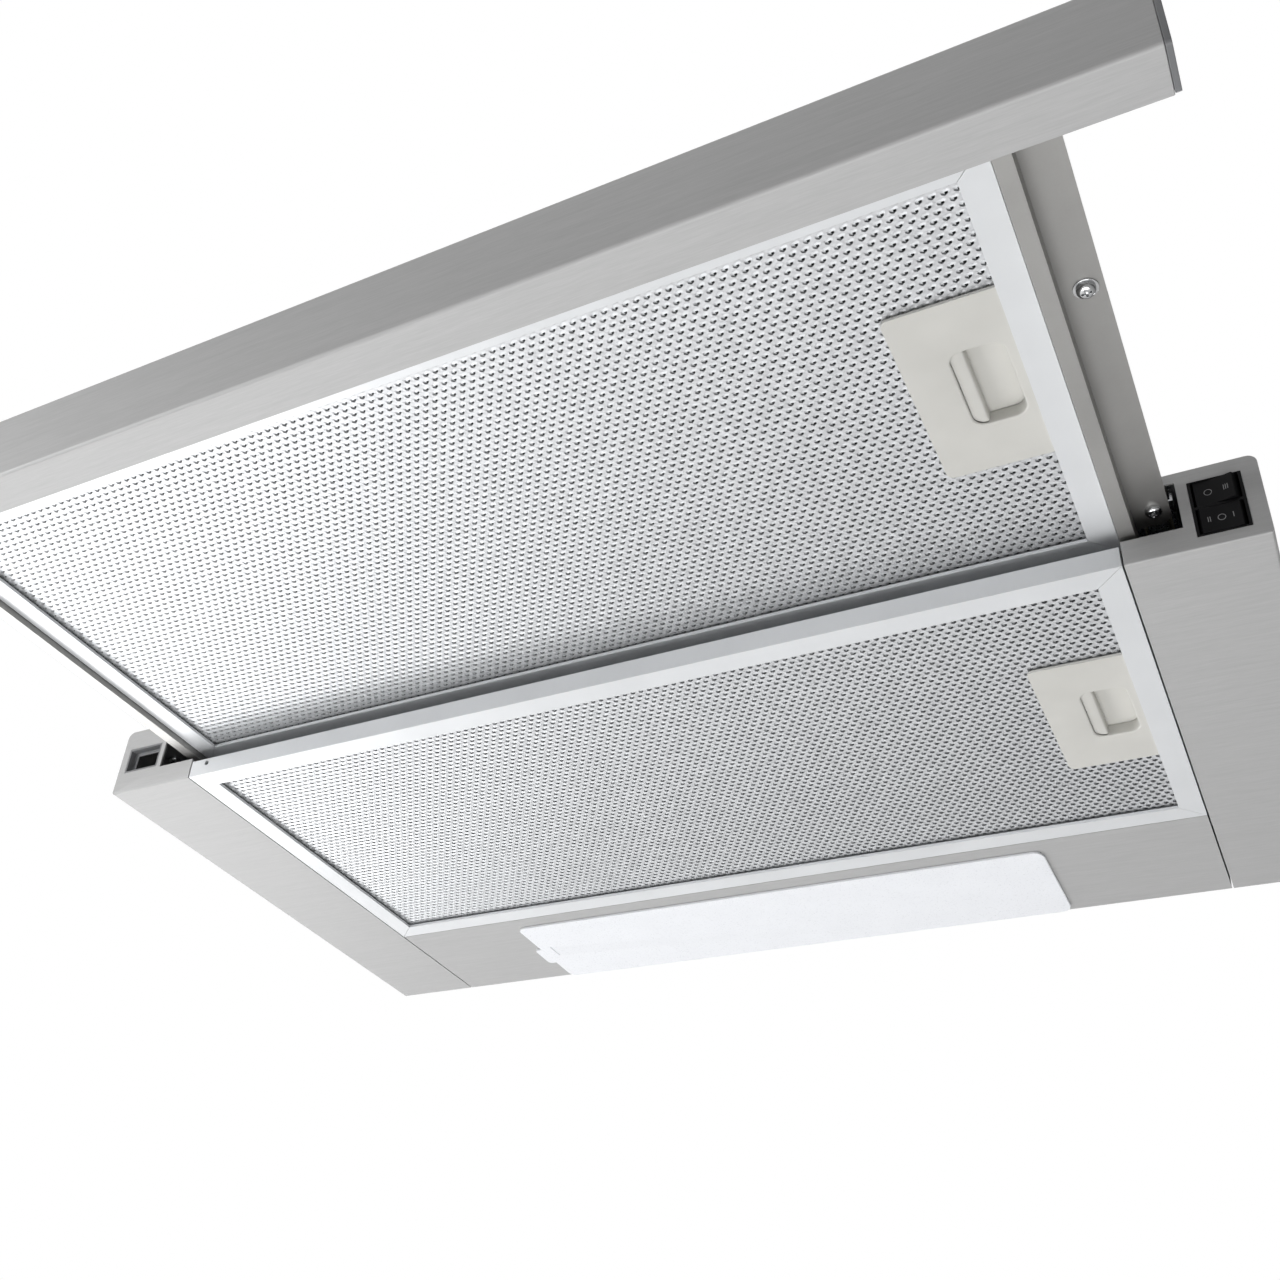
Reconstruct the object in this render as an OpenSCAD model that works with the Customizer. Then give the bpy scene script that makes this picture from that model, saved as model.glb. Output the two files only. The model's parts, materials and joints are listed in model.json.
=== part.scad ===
// Pull-out cooker hood of the 60 cm class, with its filter drawer pulled out.
// Everything is drawn from the lower front edge of the tray: X runs to the right as
// seen by the cook, Y to the rear and Z up. placed() then moves it, so that the origin
// is the centre of the four cabinet fixing holes in the top face of the tray.

/* [Tray] */
// Width of the tray and of the drawer front
hood_w = 598; // [580:1:640]
// Height of the tray
tray_h = 40.6; // [40:0.1:46]
// Thickness of the steel panels
sheet_t = 1; // [0.8:0.1:1.2]
// Outer bend radius along the upper side edges
bend_r = 4; // [2:0.5:6]
// Gap between neighbouring panels
seam = 0.8; // [0.5:0.1:1.2]
// Width of the side panels' lower faces
side_w = 55.3; // [54:0.1:60]
// Depth of the bay that holds the rear cassette
bay_d = 215.4; // [200:0.1:240]
// Depth of the rear panel's lower face
rear_w = 85.6; // [80:0.1:100]
// Width of the side panels' top flanges
side_flange_w = 12; // [11:0.5:14]
// Width of the rear panel's top flange
rear_flange_w = 9; // [8:0.5:12]
// Width of the plain margin round the air opening of the tray
air_margin = 12; // [8:1:16]

/* [Front openings] */
// Distance of each runner opening's outer edge from the tray's side
runner_open_edge = 31.3; // [29:0.1:32]
// Distance of each runner opening's upper edge from the tray's top
runner_open_drop = 4.7; // [3:0.1:4.9]
// Distance of the switch from the tray's right side
switch_edge = 6.7; // [5:0.1:8]
// Width of the switch
switch_w = 20.3; // [19:0.1:21]
// Height of the switch
switch_h = 28.1; // [26:0.1:29]
// Height of the switch's lower edge
switch_low = 5.6; // [4:0.1:7]
// Distance of the blanking frame from the tray's left side
blank_edge = 4.7; // [4.5:0.1:6]
// Width of the blanking frame
blank_w = 23.7; // [20:0.1:24]
// Height of the blanking frame
blank_h = 15.5; // [12:0.1:20]
// Height of the blanking frame's lower edge
blank_low = 13; // [8:0.5:14]
// Depth of the blanking frame
blank_d = 4.6; // [3:0.1:6]

/* [Filter cassettes] */
// Thickness of a cassette
cassette_t = 9.8; // [9:0.1:10.4]
// Width of the cassette frame as seen from below
strip_w = 11.5; // [9:0.5:13]
// Depth by which the mesh lies back from the frame's face
mesh_recess = 2; // [1.5:0.1:2.5]
// Wall of the cassette's channel
channel_t = 1.2; // [0.8:0.1:1.5]
// Width of a latch plate
latch_w = 41; // [38:0.5:44]
// Length of a latch plate
latch_l = 88; // [80:1:96]
// Width of the finger recess
pull_w = 20; // [18:0.5:21]
// Length of the finger recess
pull_l = 39; // [34:1:44]
// Width of the sliding finger lip
pull_lip_w = 5.6; // [4:0.1:7]
// Travel of a latch
latch_travel = 5; // [4:0.1:5.5]
// Place of the rear latch along its cassette, from the middle
rear_latch_shift = -1.5; // [-20:0.5:20]
// Place of the front latch along its cassette, from the middle
front_latch_shift = -5; // [-20:0.5:20]

/* [Drawer] */
// Gap between the front cassette and the drawer front
lip_gap = 5.2; // [4:0.1:8]
// Gap between the closed drawer front and the tray
closing_gap = 2; // [1:0.5:4]
// Height of the drawer front
fascia_h = 37; // [36:0.5:37.5]
// Depth of the drawer front
fascia_d = 18; // [16:0.5:19]
// Height of the front cassette above the walls of the rear cassette's bay
drawer_lift = 6.6; // [5.5:0.1:7]
// Distance of the pulled-out cassette's rear edge behind the tray's front face
front_cassette_y = 13.2; // [11:0.1:14]
// Distance of the drawer arms' lower face below the front cassette's
arm_drop = 3.1; // [2.4:0.1:4]
// Width of the drawer arms' channel
arm_w = 6.3; // [5.8:0.1:6.5]
// Thickness of the drawer arms' steel
arm_t = 1.2; // [1:0.1:1.4]
// Gap between the front cassette and the arms
arm_gap = 0.5; // [0.4:0.1:0.8]
// Width by which the runner plate on each arm is narrower than the runner
plate_inset = 1; // [0:0.1:2]
// Thickness of the runner plate
plate_t = 1.5; // [1.2:0.1:1.8]
// Distance of the runner plate's rear end behind the tray's front face
plate_end_y = 12; // [10:0.5:14]
// Corner radius of the runner plate
plate_r = 5; // [3:0.5:6]

/* [Runners] */
// Width of a runner's outer member
runner_w = 15.6; // [15.2:0.1:16]
// Height of a runner, from the plate to the tray's top sheet
runner_h = 12.1; // [11.9:0.1:12.4]
// Wall of the runner's members
runner_t = 1; // [0.8:0.1:1.1]
// Distance of the runners from the tray's front face
runner_front = 4; // [3:0.5:8]
// Distance of the runners from the tray's rear face
runner_rear = 11; // [10.5:0.5:30]
// Width of a runner's inner member
runner_inner_w = 7.8; // [7.4:0.1:8.2]
// Length of a ball cage
cage_l = 70; // [50:1:74]
// Number of balls in a row
ball_count = 6; // [3:1:8]
// Running clearance on each side of a ball
ball_gap = 0.15; // [0.1:0.05:0.2]
// Radius of the runner screws
screw_r = 1.75; // [1.5:0.05:2]
// Distance of the rear runner screws from the plate's rear end
screw_end = 10; // [8:1:16]
// Distance between the two screws of a runner
screw_pitch = 126; // [90:1:150]

/* [Light] */
// Width of the light cover
light_w = 323; // [280:1:330]
// Distance of the light cover from the rear cassette's bay
light_front = 10.1; // [8:0.1:20]
// Distance of the light's centre from the hood's centre line
light_x = -2.5; // [-10:0.5:10]
// Distance of the light cover's rear edge from the rear of the tray
light_rear = 1.2; // [1:0.1:4]
// Thickness of the light cover
light_t = 1.3; // [1:0.1:2]
// Width by which the cover laps over the panel
light_lap = 3.5; // [3:0.1:5]

/* [Motor cover] */
// Width by which the motor cover laps over the side panels
cover_lap = 4.3; // [0:0.1:6]
// Distance of the motor cover from the tray's rear face
cover_rear = 9; // [8.5:0.5:30]
// Height of the motor cover
cover_h = 135.4; // [130:0.1:160]
// Distance of the motor cover behind the tray's front face
cover_y = 6; // [4:1:8]

/* [Outlet] */
// Outer radius of the duct spigot
spigot_r = 60; // [56:0.5:62.5]
// Wall of the spigot
spigot_t = 2.5; // [2:0.1:3]
// Height of the spigot
spigot_h = 28; // [24:1:50]
// Distance of the outlet's centre in front of the tray's middle
outlet_shift = 0.5; // [-6:0.5:10]
// Radius of the damper axle
axle_r = 1.5; // [1.2:0.1:2]
// Running clearance of the damper flaps on their axle
axle_gap = 0.05; // [0.03:0.01:0.08]
// Thickness of the damper flaps
flap_t = 1.2; // [1:0.1:1.4]

/* [Fan] */
// Gap between the fan housing and the bottom of the motor cover
fan_floor_gap = 12.4; // [10:0.1:20]
// Width of the fan housing
scroll_w = 124; // [110:1:130]
// Wall of the fan housing
scroll_t = 2; // [1.5:0.1:2.5]
// Gap between the impeller and the fan housing's round wall
wheel_gap = 8; // [6:0.5:14]
// Gap between the impeller and the fan housing's sides
wheel_side_gap = 7; // [5:0.5:14]
// Number of impeller blades on each side
blade_count = 24; // [16:1:30]
// Radius of the motor
motor_r = 40; // [36:0.5:42]
// Length of the motor
motor_l = 70; // [60:1:80]
// Radius of the fan shaft
shaft_r = 4; // [3:0.1:5]
// Running clearance of the shaft
shaft_gap = 0.05; // [0.03:0.01:0.08]

/* [Mains inlet] */
// Radius of the bore for the mains lead
inlet_r = 4; // [3:0.1:5]
// Length of the cable gland below its nut
gland_l = 21; // [18:1:30]

/* [Cabinet fixing] */
// Distance of the fixing holes from the tray's sides
fix_edge = 23; // [21:0.5:26]
// Distance between the fixing holes front to rear
fix_d = 180; // [120:1:220]
// Radius of the fixing holes
fix_r = 2.25; // [1.8:0.05:2.5]
// Distance of the fixing pattern's centre in front of the tray's middle
fix_shift = 0.5; // [-6:0.5:10]

/* [Hidden] */
$fn = 48;
eps = 0.01;
half_w = hood_w / 2;
bay_w = hood_w - 2 * side_w;
half_bay = bay_w / 2;
tray_d = bay_d + rear_w;
top_z = tray_h - sheet_t;
slip = 0.1;
fold_gap = 0.2;
fix_w = hood_w - 2 * fix_edge;
fix_y = tray_d / 2 - fix_shift;
wall_low_h = cassette_t + 1.5;
ledge_x0 = half_w - side_flange_w - 6;
ledge_x1 = half_w - bend_r - 0.3;
plate_edge_x = half_w - side_flange_w - 0.4;
plate_edge_y = tray_d - rear_flange_w - 0.4;
side_screw_x = half_w - side_flange_w + 3.5;
side_screw_end = 30;
rear_screw_y = tray_d - rear_flange_w / 2;
side_screw_ys = [side_screw_end, tray_d / 2, tray_d - side_screw_end];
rear_screw_xs = [-200, 0, 200];
hole_gap = 0.05;
air_x = half_bay - air_margin;
air_y0 = air_margin + 2;
air_lap = 6.6;
air_y1 = bay_d + air_lap;
runner_open_x = half_w - runner_open_edge;
runner_open_low = wall_low_h + seam;
switch_x = half_w - switch_edge - switch_w;
blank_x = half_w - blank_edge - blank_w;

cassette_w = bay_w - 2 * seam;
cassette_gap = 0.4;
cassette_d = bay_d - cassette_gap;
half_cas = cassette_w / 2;
pack_gap = 0.3;
recess_r = 5;
rivet_x = 10.5;
rivet_r = 1;
layer_t = 0.6;
latch_right = half_cas - strip_w - 0.1;
pull_right = latch_right - 3.6;
pull_left = pull_right - pull_w;
slider_t = 1.4;
slider_gap = 0.3;
slider_top = cassette_t - 1.8;
latch_low = mesh_recess - 1.4;
lip_low = mesh_recess - 0.25;
tongue_l = 3.4;
tongue_w = 30;
tongue_gap = 1;
lug_w = 18;
lug_shift = 60;
lug_low = 3.2;
lug_high = 4.6;

front_cassette_z = wall_low_h + drawer_lift;
drawer_reach = cassette_d - front_cassette_y + lip_gap + fascia_d;
drawer_travel = drawer_reach - fascia_d - closing_gap;
arm_x = half_cas + arm_gap;
arm_out = arm_x + arm_w;
arm_z = front_cassette_z - arm_drop;
plate_w = runner_w - plate_inset;
plate_top = top_z - runner_h;
plate_low = plate_top - plate_t;
arm_top = plate_top + 5.5;
runner_x = arm_out + runner_w / 2 + 0.5;
runner_l = tray_d - runner_front - runner_rear;
screw_rear_y = plate_end_y - screw_end;
screw_front_y = screw_rear_y - screw_pitch;
bar_y = front_cassette_y + 0.4;
bar_d = 5;
bar_z = arm_z + 2.2;
fascia_y = -drawer_reach;
lip_y = fascia_y + fascia_d;
fascia_r = 1.5;
cap_t = 2;
front_cas_y0 = front_cassette_y - cassette_d;

ball_room = (runner_w - 2 * runner_t - runner_inner_w) / 2;
ball_r = ball_room / 2 - ball_gap;
ball_z = top_z - 6;
inner_top = top_z - 4.4;
outer_low = top_z - 9.2;
cage_t = 0.8;
cage_y = runner_front + 6;
head_r = 3.4;
head_h = 2.4;
cross_w = 0.8;
cross_l = 4;
washer_r = 4.4;
washer_t = 0.6;

light_y0 = bay_d + light_front;
light_y1 = tray_d - light_rear;
light_d = light_y1 - light_y0;
light_x0 = light_x - light_w / 2;
light_x1 = light_x + light_w / 2;
light_low = -light_t - fold_gap;
light_r = 5;
tab_w = 20;
tab_out = 4.8;
tab_y = 32;
lamp_top = top_z - 3.6;
lamp_t = 0.8;
board_end = 21.5;
board_w = light_w - 2 * board_end;
board_d = 18;
board_t = 1.6;
led_count = 14;
led = [4, 3.6, 0.8];
driver = [80, 34, 24];
driver_end = 14;
driver_gap = 8;
driver_x = light_x0 + driver_end;
driver_y = air_y1 + driver_gap;
driver_foot = [8, 18, 2];

cover_w = bay_w + 2 * cover_lap;
cover_d = tray_d - cover_y - cover_rear;
cover_top = tray_h + cover_h;
cover_x = cover_w / 2;
cover_rim = 10;
roof_z = cover_top - sheet_t;
outlet_y = tray_d / 2 - outlet_shift;
spigot_in = spigot_r - spigot_t;
collar_rim = 10;
collar_t = 2;
collar_screw_r = spigot_r + collar_rim / 2;
flap_z = cover_top + 14;
flap_r = spigot_in - 1;
flap_seat_z = flap_z - flap_t / 2 - pack_gap;
knuckle_r = 3.2;
knuckle_l = 8;
knuckle_xs = [-44, 20];
knuckle_step = 14;
flap_start = 4;
ledge_ring = 2;

roof_gap = 5;
scroll_r = (cover_h - 2 * sheet_t - roof_gap - fan_floor_gap) / 2;
wheel_r = scroll_r - scroll_t - wheel_gap;
wheel_w = scroll_w - 2 * (scroll_t + wheel_side_gap);
duct_edge = 4;
duct_half = collar_screw_r * cos(45) + duct_edge;
duct_y0 = outlet_y - duct_half;
duct_y1 = outlet_y + duct_half;
fan_y = duct_y0 + scroll_r;
fan_z = roof_z - scroll_r - roof_gap;
scroll_x = scroll_w / 2;
duct_r = spigot_r - 14;
inlet_ring_r = wheel_r - 4;
blade_d = 9;
hub_r = 11;
mount_l = 4;
mount_r = 4;
mount_ring = scroll_r - 6;
bracket_t = 2;
motor_x0 = scroll_x + mount_l + bracket_t;
capacitor_r = 15;
capacitor_l = 55;
capacitor_side = 43;
capacitor_back = 37;
capacitor_x = cover_x - capacitor_side - capacitor_l;
capacitor_y = cover_y + cover_d - capacitor_back - capacitor_r;
capacitor_foot = [25, 32];
terminal = [35, 70, 42];
terminal_t = 1.6;
terminal_x = cover_x - sheet_t - terminal[0];
terminal_front = 14;
terminal_drop = 14;
terminal_y = cover_y + terminal_front;
terminal_z = roof_z - terminal_drop - terminal[2];
gland_x = terminal_x + terminal[0] / 2;
gland_y = terminal_y + terminal[1] / 2;
gland_r = inlet_r + 4;
gland_low = terminal_drop + 2;
nut_r = inlet_r + 7;
nut_h = 6;
rocker_r = (switch_w - 2.9) / 2;
rocker_h = switch_h / 2 - 1.65;
rocker_y = 3.6;
rocker_pin_r = 1.2;
rocker_pin_out = 0.5;
rocker_gap = 0.05;
rocker_room = 0.2;
switch_back = 22;

// Moves the drawing to the centre of the fixing pattern.
module placed() {
    translate([0, -fix_y, -tray_h]) children();
}

// A box given by its lowest and highest corners.
module block(low, high) {
    translate(low) cube(high - low);
}

// A cylinder along X, from x0 to x1.
module rod_x(x0, x1, y, z, r) {
    translate([x0, y, z]) rotate([0, 90, 0]) cylinder(h = x1 - x0, r = r);
}

// A flat rectangle with one radius at all four corners.
module rounded_rect(w, d, r) {
    translate([r, 0]) square([w - 2 * r, d]);
    translate([0, r]) square([w, d - 2 * r]);
    for (x = [r, w - r], y = [r, d - r]) translate([x, y]) circle(r = r);
}

// Repeats its children on the other side of the hood.
module both_sides() {
    children();
    mirror([1, 0, 0]) children();
}

// ---- Tray ----

// Outline of a side panel seen from the front, with its upper outer edge rounded.
module side_outline(inset, r_top, r_low) {
    x0 = half_bay + inset;
    x1 = half_w - inset;
    z0 = inset;
    z1 = tray_h - inset;
    translate([x0, z0]) square([x1 - x0 - r_top, z1 - z0]);
    translate([x0, z0]) square([x1 - x0 - r_low, z1 - z0 - r_top]);
    translate([x0, z0 + r_low]) square([x1 - x0, z1 - z0 - r_low - r_top]);
    translate([x1 - r_top, z1 - r_top]) circle(r = r_top);
    translate([x1 - r_low, z0 + r_low]) circle(r = r_low);
}

// Extrudes an outline that is drawn in X and Z from y0 to y1.
module along_y(y0, y1) {
    translate([0, y1, 0]) rotate([90, 0, 0]) linear_extrude(y1 - y0) children();
}

// The folded shell of a side panel, drawn for the right side.
module side_shell() {
    low_r = 1.5;
    difference() {
        along_y(0, tray_d) side_outline(0, bend_r, low_r);
        along_y(sheet_t, tray_d - sheet_t) side_outline(sheet_t, bend_r - sheet_t, low_r - 0.5);
        block([half_bay - 1, sheet_t, wall_low_h],
            [half_bay + sheet_t + 1, tray_d - sheet_t, tray_h + 1]);
        block([half_bay - 1, sheet_t, top_z - eps],
            [half_w - side_flange_w, tray_d - sheet_t, tray_h + 1]);
        block([half_bay - 1, -1, runner_open_low],
            [runner_open_x, sheet_t + 1, tray_h - runner_open_drop]);
        for (y = side_screw_ys)
            translate([side_screw_x, y, top_z - 1]) cylinder(h = 3, r = screw_r + hole_gap);
    }
}

module left_side_panel() {
    placed() color("silver") difference() {
        mirror([1, 0, 0]) side_shell();
        block([-blank_x - blank_w, -1, blank_low], [-blank_x, sheet_t + 1, blank_low + blank_h]);
        for (s = [-1, 1])
            block([-half_bay - sheet_t - 1, cassette_d / 2 + s * lug_shift - lug_w / 2 - 1, lug_low - 0.6],
                [-half_bay + 1, cassette_d / 2 + s * lug_shift + lug_w / 2 + 1, wall_low_h + 1]);
    }
}

module right_side_panel() {
    latch_y = cassette_d / 2 + rear_latch_shift;
    placed() color("silver") difference() {
        side_shell();
        block([switch_x, -1, switch_low],
            [switch_x + switch_w, sheet_t + 1, switch_low + switch_h]);
        block([half_bay - 1, latch_y - tongue_w / 2 - tongue_gap, slider_top - slider_t - 2],
            [half_bay + sheet_t + 1, latch_y + tongue_w / 2 + tongue_gap, wall_low_h + 1]);
    }
}

module rear_panel() {
    half = half_bay - seam;
    placed() color("silver") difference() {
        union() {
            block([-half, bay_d, 0], [half, tray_d, sheet_t]);
            block([-half, bay_d, 0], [half, bay_d + sheet_t, wall_low_h]);
            block([-half, tray_d - sheet_t, 0], [half, tray_d, tray_h]);
            block([-half, tray_d - rear_flange_w, top_z], [half, tray_d, tray_h]);
        }
        block([light_x0 + light_lap, light_y0 + light_lap, -1],
            [light_x1 - light_lap, light_y1 - light_lap, sheet_t + 1]);
        for (x = rear_screw_xs)
            translate([x, rear_screw_y, top_z - 1]) cylinder(h = 3, r = screw_r + hole_gap);
    }
}

// Places its children at the four screws that hold the motor cover down.
module at_cover_screws() {
    for (x = [-cover_x + 5, cover_x - 5], y = [cover_y + 24, cover_y + cover_d - 40])
        translate([x, y, 0]) children();
}

// Places its children at the screws that hold the side and rear panels.
module at_panel_screws() {
    for (s = [-1, 1], y = side_screw_ys) translate([s * side_screw_x, y, 0]) children();
    for (x = rear_screw_xs) translate([x, rear_screw_y, 0]) children();
}

// Top sheet of the tray, which carries the runners, the motor cover and all panels.
module tray_frame() {
    y0 = sheet_t + fold_gap;
    placed() color("gainsboro") difference() {
        union() {
            block([-plate_edge_x, y0, top_z], [plate_edge_x, plate_edge_y, tray_h]);
            both_sides()
                block([ledge_x0, y0, top_z - sheet_t], [ledge_x1, plate_edge_y, top_z]);
            block([-arm_x, plate_edge_y - 1, top_z - sheet_t],
                [arm_x, tray_d - sheet_t - 0.6, top_z]);
            block([-half_bay + 0.3, y0, top_z - 3.4], [half_bay - 0.3, y0 + sheet_t, top_z]);
        }
        block([-air_x, air_y0, top_z - 1], [air_x, air_y1, tray_h + 1]);
        for (x = [-fix_w / 2, fix_w / 2], y = [-fix_d / 2, fix_d / 2])
            translate([x, fix_y + y, top_z - 3]) cylinder(h = 6, r = fix_r);
        translate([0, 0, top_z - 3]) {
            at_panel_screws() cylinder(h = 5, r = screw_r + hole_gap);
            at_cover_screws() cylinder(h = 5, r = screw_r + hole_gap);
        }
    }
}

// A screw with a flat-topped round head and a crossed slot, head downwards at z = 0.
module cross_screw(length) {
    difference() {
        union() {
            translate([0, 0, -head_h]) cylinder(h = head_h, r = head_r);
            translate([0, 0, -eps]) cylinder(h = length, r = screw_r);
        }
        for (a = [0, 90])
            rotate([0, 0, a])
                block([-cross_l / 2, -cross_w / 2, -head_h - 1], [cross_l / 2, cross_w / 2, -head_h + 1.1]);
    }
}

module panel_screws() {
    placed() color("darkgray") translate([0, 0, top_z - sheet_t])
        at_panel_screws() cross_screw(2 * sheet_t);
}

module blanking_frame() {
    wall = 1;
    x1 = -blank_x - slip;
    x0 = -blank_x - blank_w + slip;
    z0 = blank_low + slip;
    z1 = blank_low + blank_h - slip;
    placed() color("gray") difference() {
        union() {
            block([x0, 0, z0], [x1, blank_d, z1]);
            block([x0 - wall, sheet_t + slip, z0 - wall], [x1, sheet_t + wall, z1 + wall]);
        }
        block([x0 + wall, -1, z0 + wall], [x1 - wall, blank_d - wall, z1 - wall]);
        block([x0 + 4, 0, z0 + 3], [x1 - 3, blank_d + 1, z1 - 3]);
    }
}

// ---- Switch ----

function rocker_z(i) = switch_low + switch_h * (0.25 + 0.5 * i);
switch_mid = switch_x + switch_w / 2;

module switch_body() {
    tab_pitch = 6;
    placed() color("black") difference() {
        union() {
            block([switch_x + slip, -0.4, switch_low + slip],
                [switch_x + switch_w - slip, switch_back, switch_low + switch_h - slip]);
            for (k = [0:3])
                translate([switch_mid - 3, switch_back - 1, switch_low + 5 + k * tab_pitch])
                    cube([6, 7, 0.8]);
        }
        for (i = [0, 1]) {
            half = rocker_h / 2 + rocker_room;
            block([switch_mid - rocker_r - rocker_room, -1, rocker_z(i) - half],
                [switch_mid + rocker_r + rocker_room, 14, rocker_z(i) + half]);
            translate([switch_mid, rocker_y, rocker_z(i) - half - rocker_pin_out + 0.05])
                cylinder(h = 2 * (half + rocker_pin_out - 0.05), r = rocker_pin_r + rocker_gap);
        }
    }
}

// A rocker about its pivot, with a shallow hollow face; turn is its angle at rest.
module rocker(i, turn) {
    x = rocker_r - 0.3;
    translate([switch_mid, rocker_y, rocker_z(i) - rocker_h / 2]) rotate([0, 0, turn]) {
        intersection() {
            cylinder(h = rocker_h, r = rocker_r);
            linear_extrude(rocker_h)
                polygon([[-x, -4.7], [-2, -4], [2, -4], [x, -4.7], [x, 0], [4, 4], [-4, 4], [-x, 0]]);
        }
        translate([0, 0, -rocker_pin_out]) cylinder(h = rocker_h + 2 * rocker_pin_out, r = rocker_pin_r);
    }
}

module light_rocker() {
    placed() color("black") rocker(1, -8);
}

module fan_rocker() {
    placed() color("black") rocker(0, 0);
}

// ---- Filter cassettes, drawn at the rear cassette's place ----

module cassette_frame() {
    groove_low = mesh_recess;
    groove_high = cassette_t - 1.5;
    difference() {
        block([-half_cas, 0, 0], [half_cas, cassette_d, cassette_t]);
        block([-half_cas + strip_w, strip_w, -1],
            [half_cas - strip_w, cassette_d - strip_w, cassette_t + 1]);
        block([-half_cas + channel_t, channel_t, groove_low],
            [half_cas - channel_t, cassette_d - channel_t, groove_high]);
        translate([-half_cas + rivet_x, -1, cassette_t - 2.7]) rotate([-90, 0, 0])
            cylinder(h = channel_t + 2, r = rivet_r);
    }
    for (s = [-1, 1])
        block([-half_cas - 2.4, cassette_d / 2 + s * lug_shift - lug_w / 2, lug_low],
            [-half_cas + channel_t / 2, cassette_d / 2 + s * lug_shift + lug_w / 2, lug_high]);
}

// Slot for the latch tongue through the cassette's right side.
module tongue_slot(shift) {
    y = cassette_d / 2 + shift;
    block([half_cas - strip_w - 1, y - tongue_w / 2 - 0.4, slider_top - slider_t - 0.4],
        [half_cas + 1, y + tongue_w / 2 + 0.4, slider_top + 0.3]);
}

// The mesh pack: a lower and an upper layer joined by a folded rim.
module cassette_mesh(shift) {
    y = cassette_d / 2 + shift;
    inset = channel_t + pack_gap;
    rim = inset + 2;
    high = cassette_t - 1.5 - pack_gap;
    difference() {
        block([-half_cas + inset, inset, mesh_recess], [half_cas - inset, cassette_d - inset, high]);
        block([-half_cas + rim, rim, mesh_recess + layer_t],
            [half_cas - rim, cassette_d - rim, high - layer_t]);
        block([latch_right - latch_w + 1.5, y - latch_l / 2 + 1.5, -1],
            [half_cas, y + latch_l / 2 - 1.5, cassette_t + 1]);
    }
}

// The latch housing: a plate with the finger recess and a box behind it, in which the
// slider moves to the left and its lip passes behind the plate.
module latch_plate(shift) {
    y = cassette_d / 2 + shift;
    x0 = latch_right - latch_w;
    wall = 2;
    box_top = cassette_t - 0.3;
    side = pull_l / 2 + 3;
    difference() {
        union() {
            translate([x0, y - latch_l / 2, latch_low])
                linear_extrude(mesh_recess - latch_low) rounded_rect(latch_w, latch_l, 3);
            block([x0 + wall, y - latch_l / 2 + wall, latch_low],
                [latch_right - 0.4, y + latch_l / 2 - wall, box_top]);
        }
        translate([pull_left, y - pull_l / 2, latch_low - 1])
            linear_extrude(cassette_t - 2) rounded_rect(pull_w, pull_l, recess_r);
        block([x0 + 2 * wall, y - side, slider_top - slider_t - slider_gap],
            [half_cas, y + side, slider_top + slider_gap]);
        block([x0 + 2 * wall, y - side, lip_low - slider_gap],
            [pull_left + recess_r, y + side, slider_top + slider_gap]);
    }
}

module latch_slider(shift) {
    lip_x = pull_left + 0.15;
    low = slider_top - slider_t;
    translate([0, cassette_d / 2 + shift, 0]) {
        block([lip_x, -pull_l / 2 - 2, low], [latch_right + 4, pull_l / 2 + 2, slider_top]);
        block([latch_right + 3.9, -tongue_w / 2, low], [half_cas + tongue_l, tongue_w / 2, slider_top]);
        intersection() {
            block([lip_x, -pull_l, lip_low], [lip_x + pull_lip_w, pull_l, low + eps]);
            translate([pull_left + 0.15, -pull_l / 2 + 0.2, 0])
                linear_extrude(cassette_t) rounded_rect(pull_w, pull_l - 0.4, recess_r);
        }
    }
}

// A point on ring k of the latch spring, whose coils run along X.
spring_r = 2;
spring_wire = 0.35;
spring_turns = 6;
spring_rings = 48;
spring_sides = 6;
function spring_point(k, j, length) =
    let (turn = 360 * spring_turns * k / spring_rings, a = 360 * j / spring_sides,
        r = spring_r + spring_wire * cos(a))
    [spring_wire + (length - 2 * spring_wire) * k / spring_rings + spring_wire * sin(a),
        r * cos(turn), r * sin(turn)];

module coil_spring(length) {
    points = [for (k = [0:spring_rings], j = [0:spring_sides - 1]) spring_point(k, j, length)];
    sides = [for (k = [0:spring_rings - 1], j = [0:spring_sides - 1])
        let (n = (j + 1) % spring_sides, a = k * spring_sides + j, b = k * spring_sides + n,
            c = a + spring_sides, d = b + spring_sides) each [[a, c, b], [b, c, d]]];
    first = [for (j = [1:spring_sides - 2]) [0, j, j + 1]];
    last_ring = spring_rings * spring_sides;
    last = [for (j = [1:spring_sides - 2]) [last_ring, last_ring + j + 1, last_ring + j]];
    polyhedron(points, concat(sides, first, last));
}

module latch_spring(shift) {
    x0 = latch_right - latch_w + 4.1;
    x1 = pull_left + 0.05;
    translate([x0, cassette_d / 2 + shift, slider_top - 2.7]) coil_spring(x1 - x0);
}

module rear_filter_frame() {
    placed() color("whitesmoke") difference() {
        cassette_frame();
        tongue_slot(rear_latch_shift);
    }
}

module rear_filter_mesh() {
    placed() color("lightgray") cassette_mesh(rear_latch_shift);
}

module rear_latch_plate() {
    placed() color("beige") latch_plate(rear_latch_shift);
}

module rear_latch_slider() {
    placed() color("beige") latch_slider(rear_latch_shift);
}

module rear_latch_spring() {
    placed() color("gray") latch_spring(rear_latch_shift);
}

// Moves a part from the rear cassette's place to the drawer.
module in_drawer() {
    placed() translate([0, front_cas_y0, front_cassette_z]) children();
}

module front_filter_frame() {
    in_drawer() color("whitesmoke") difference() {
        cassette_frame();
        tongue_slot(front_latch_shift);
    }
}

module front_filter_mesh() {
    in_drawer() color("lightgray") cassette_mesh(front_latch_shift);
}

module front_latch_plate() {
    in_drawer() color("beige") latch_plate(front_latch_shift);
}

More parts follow.
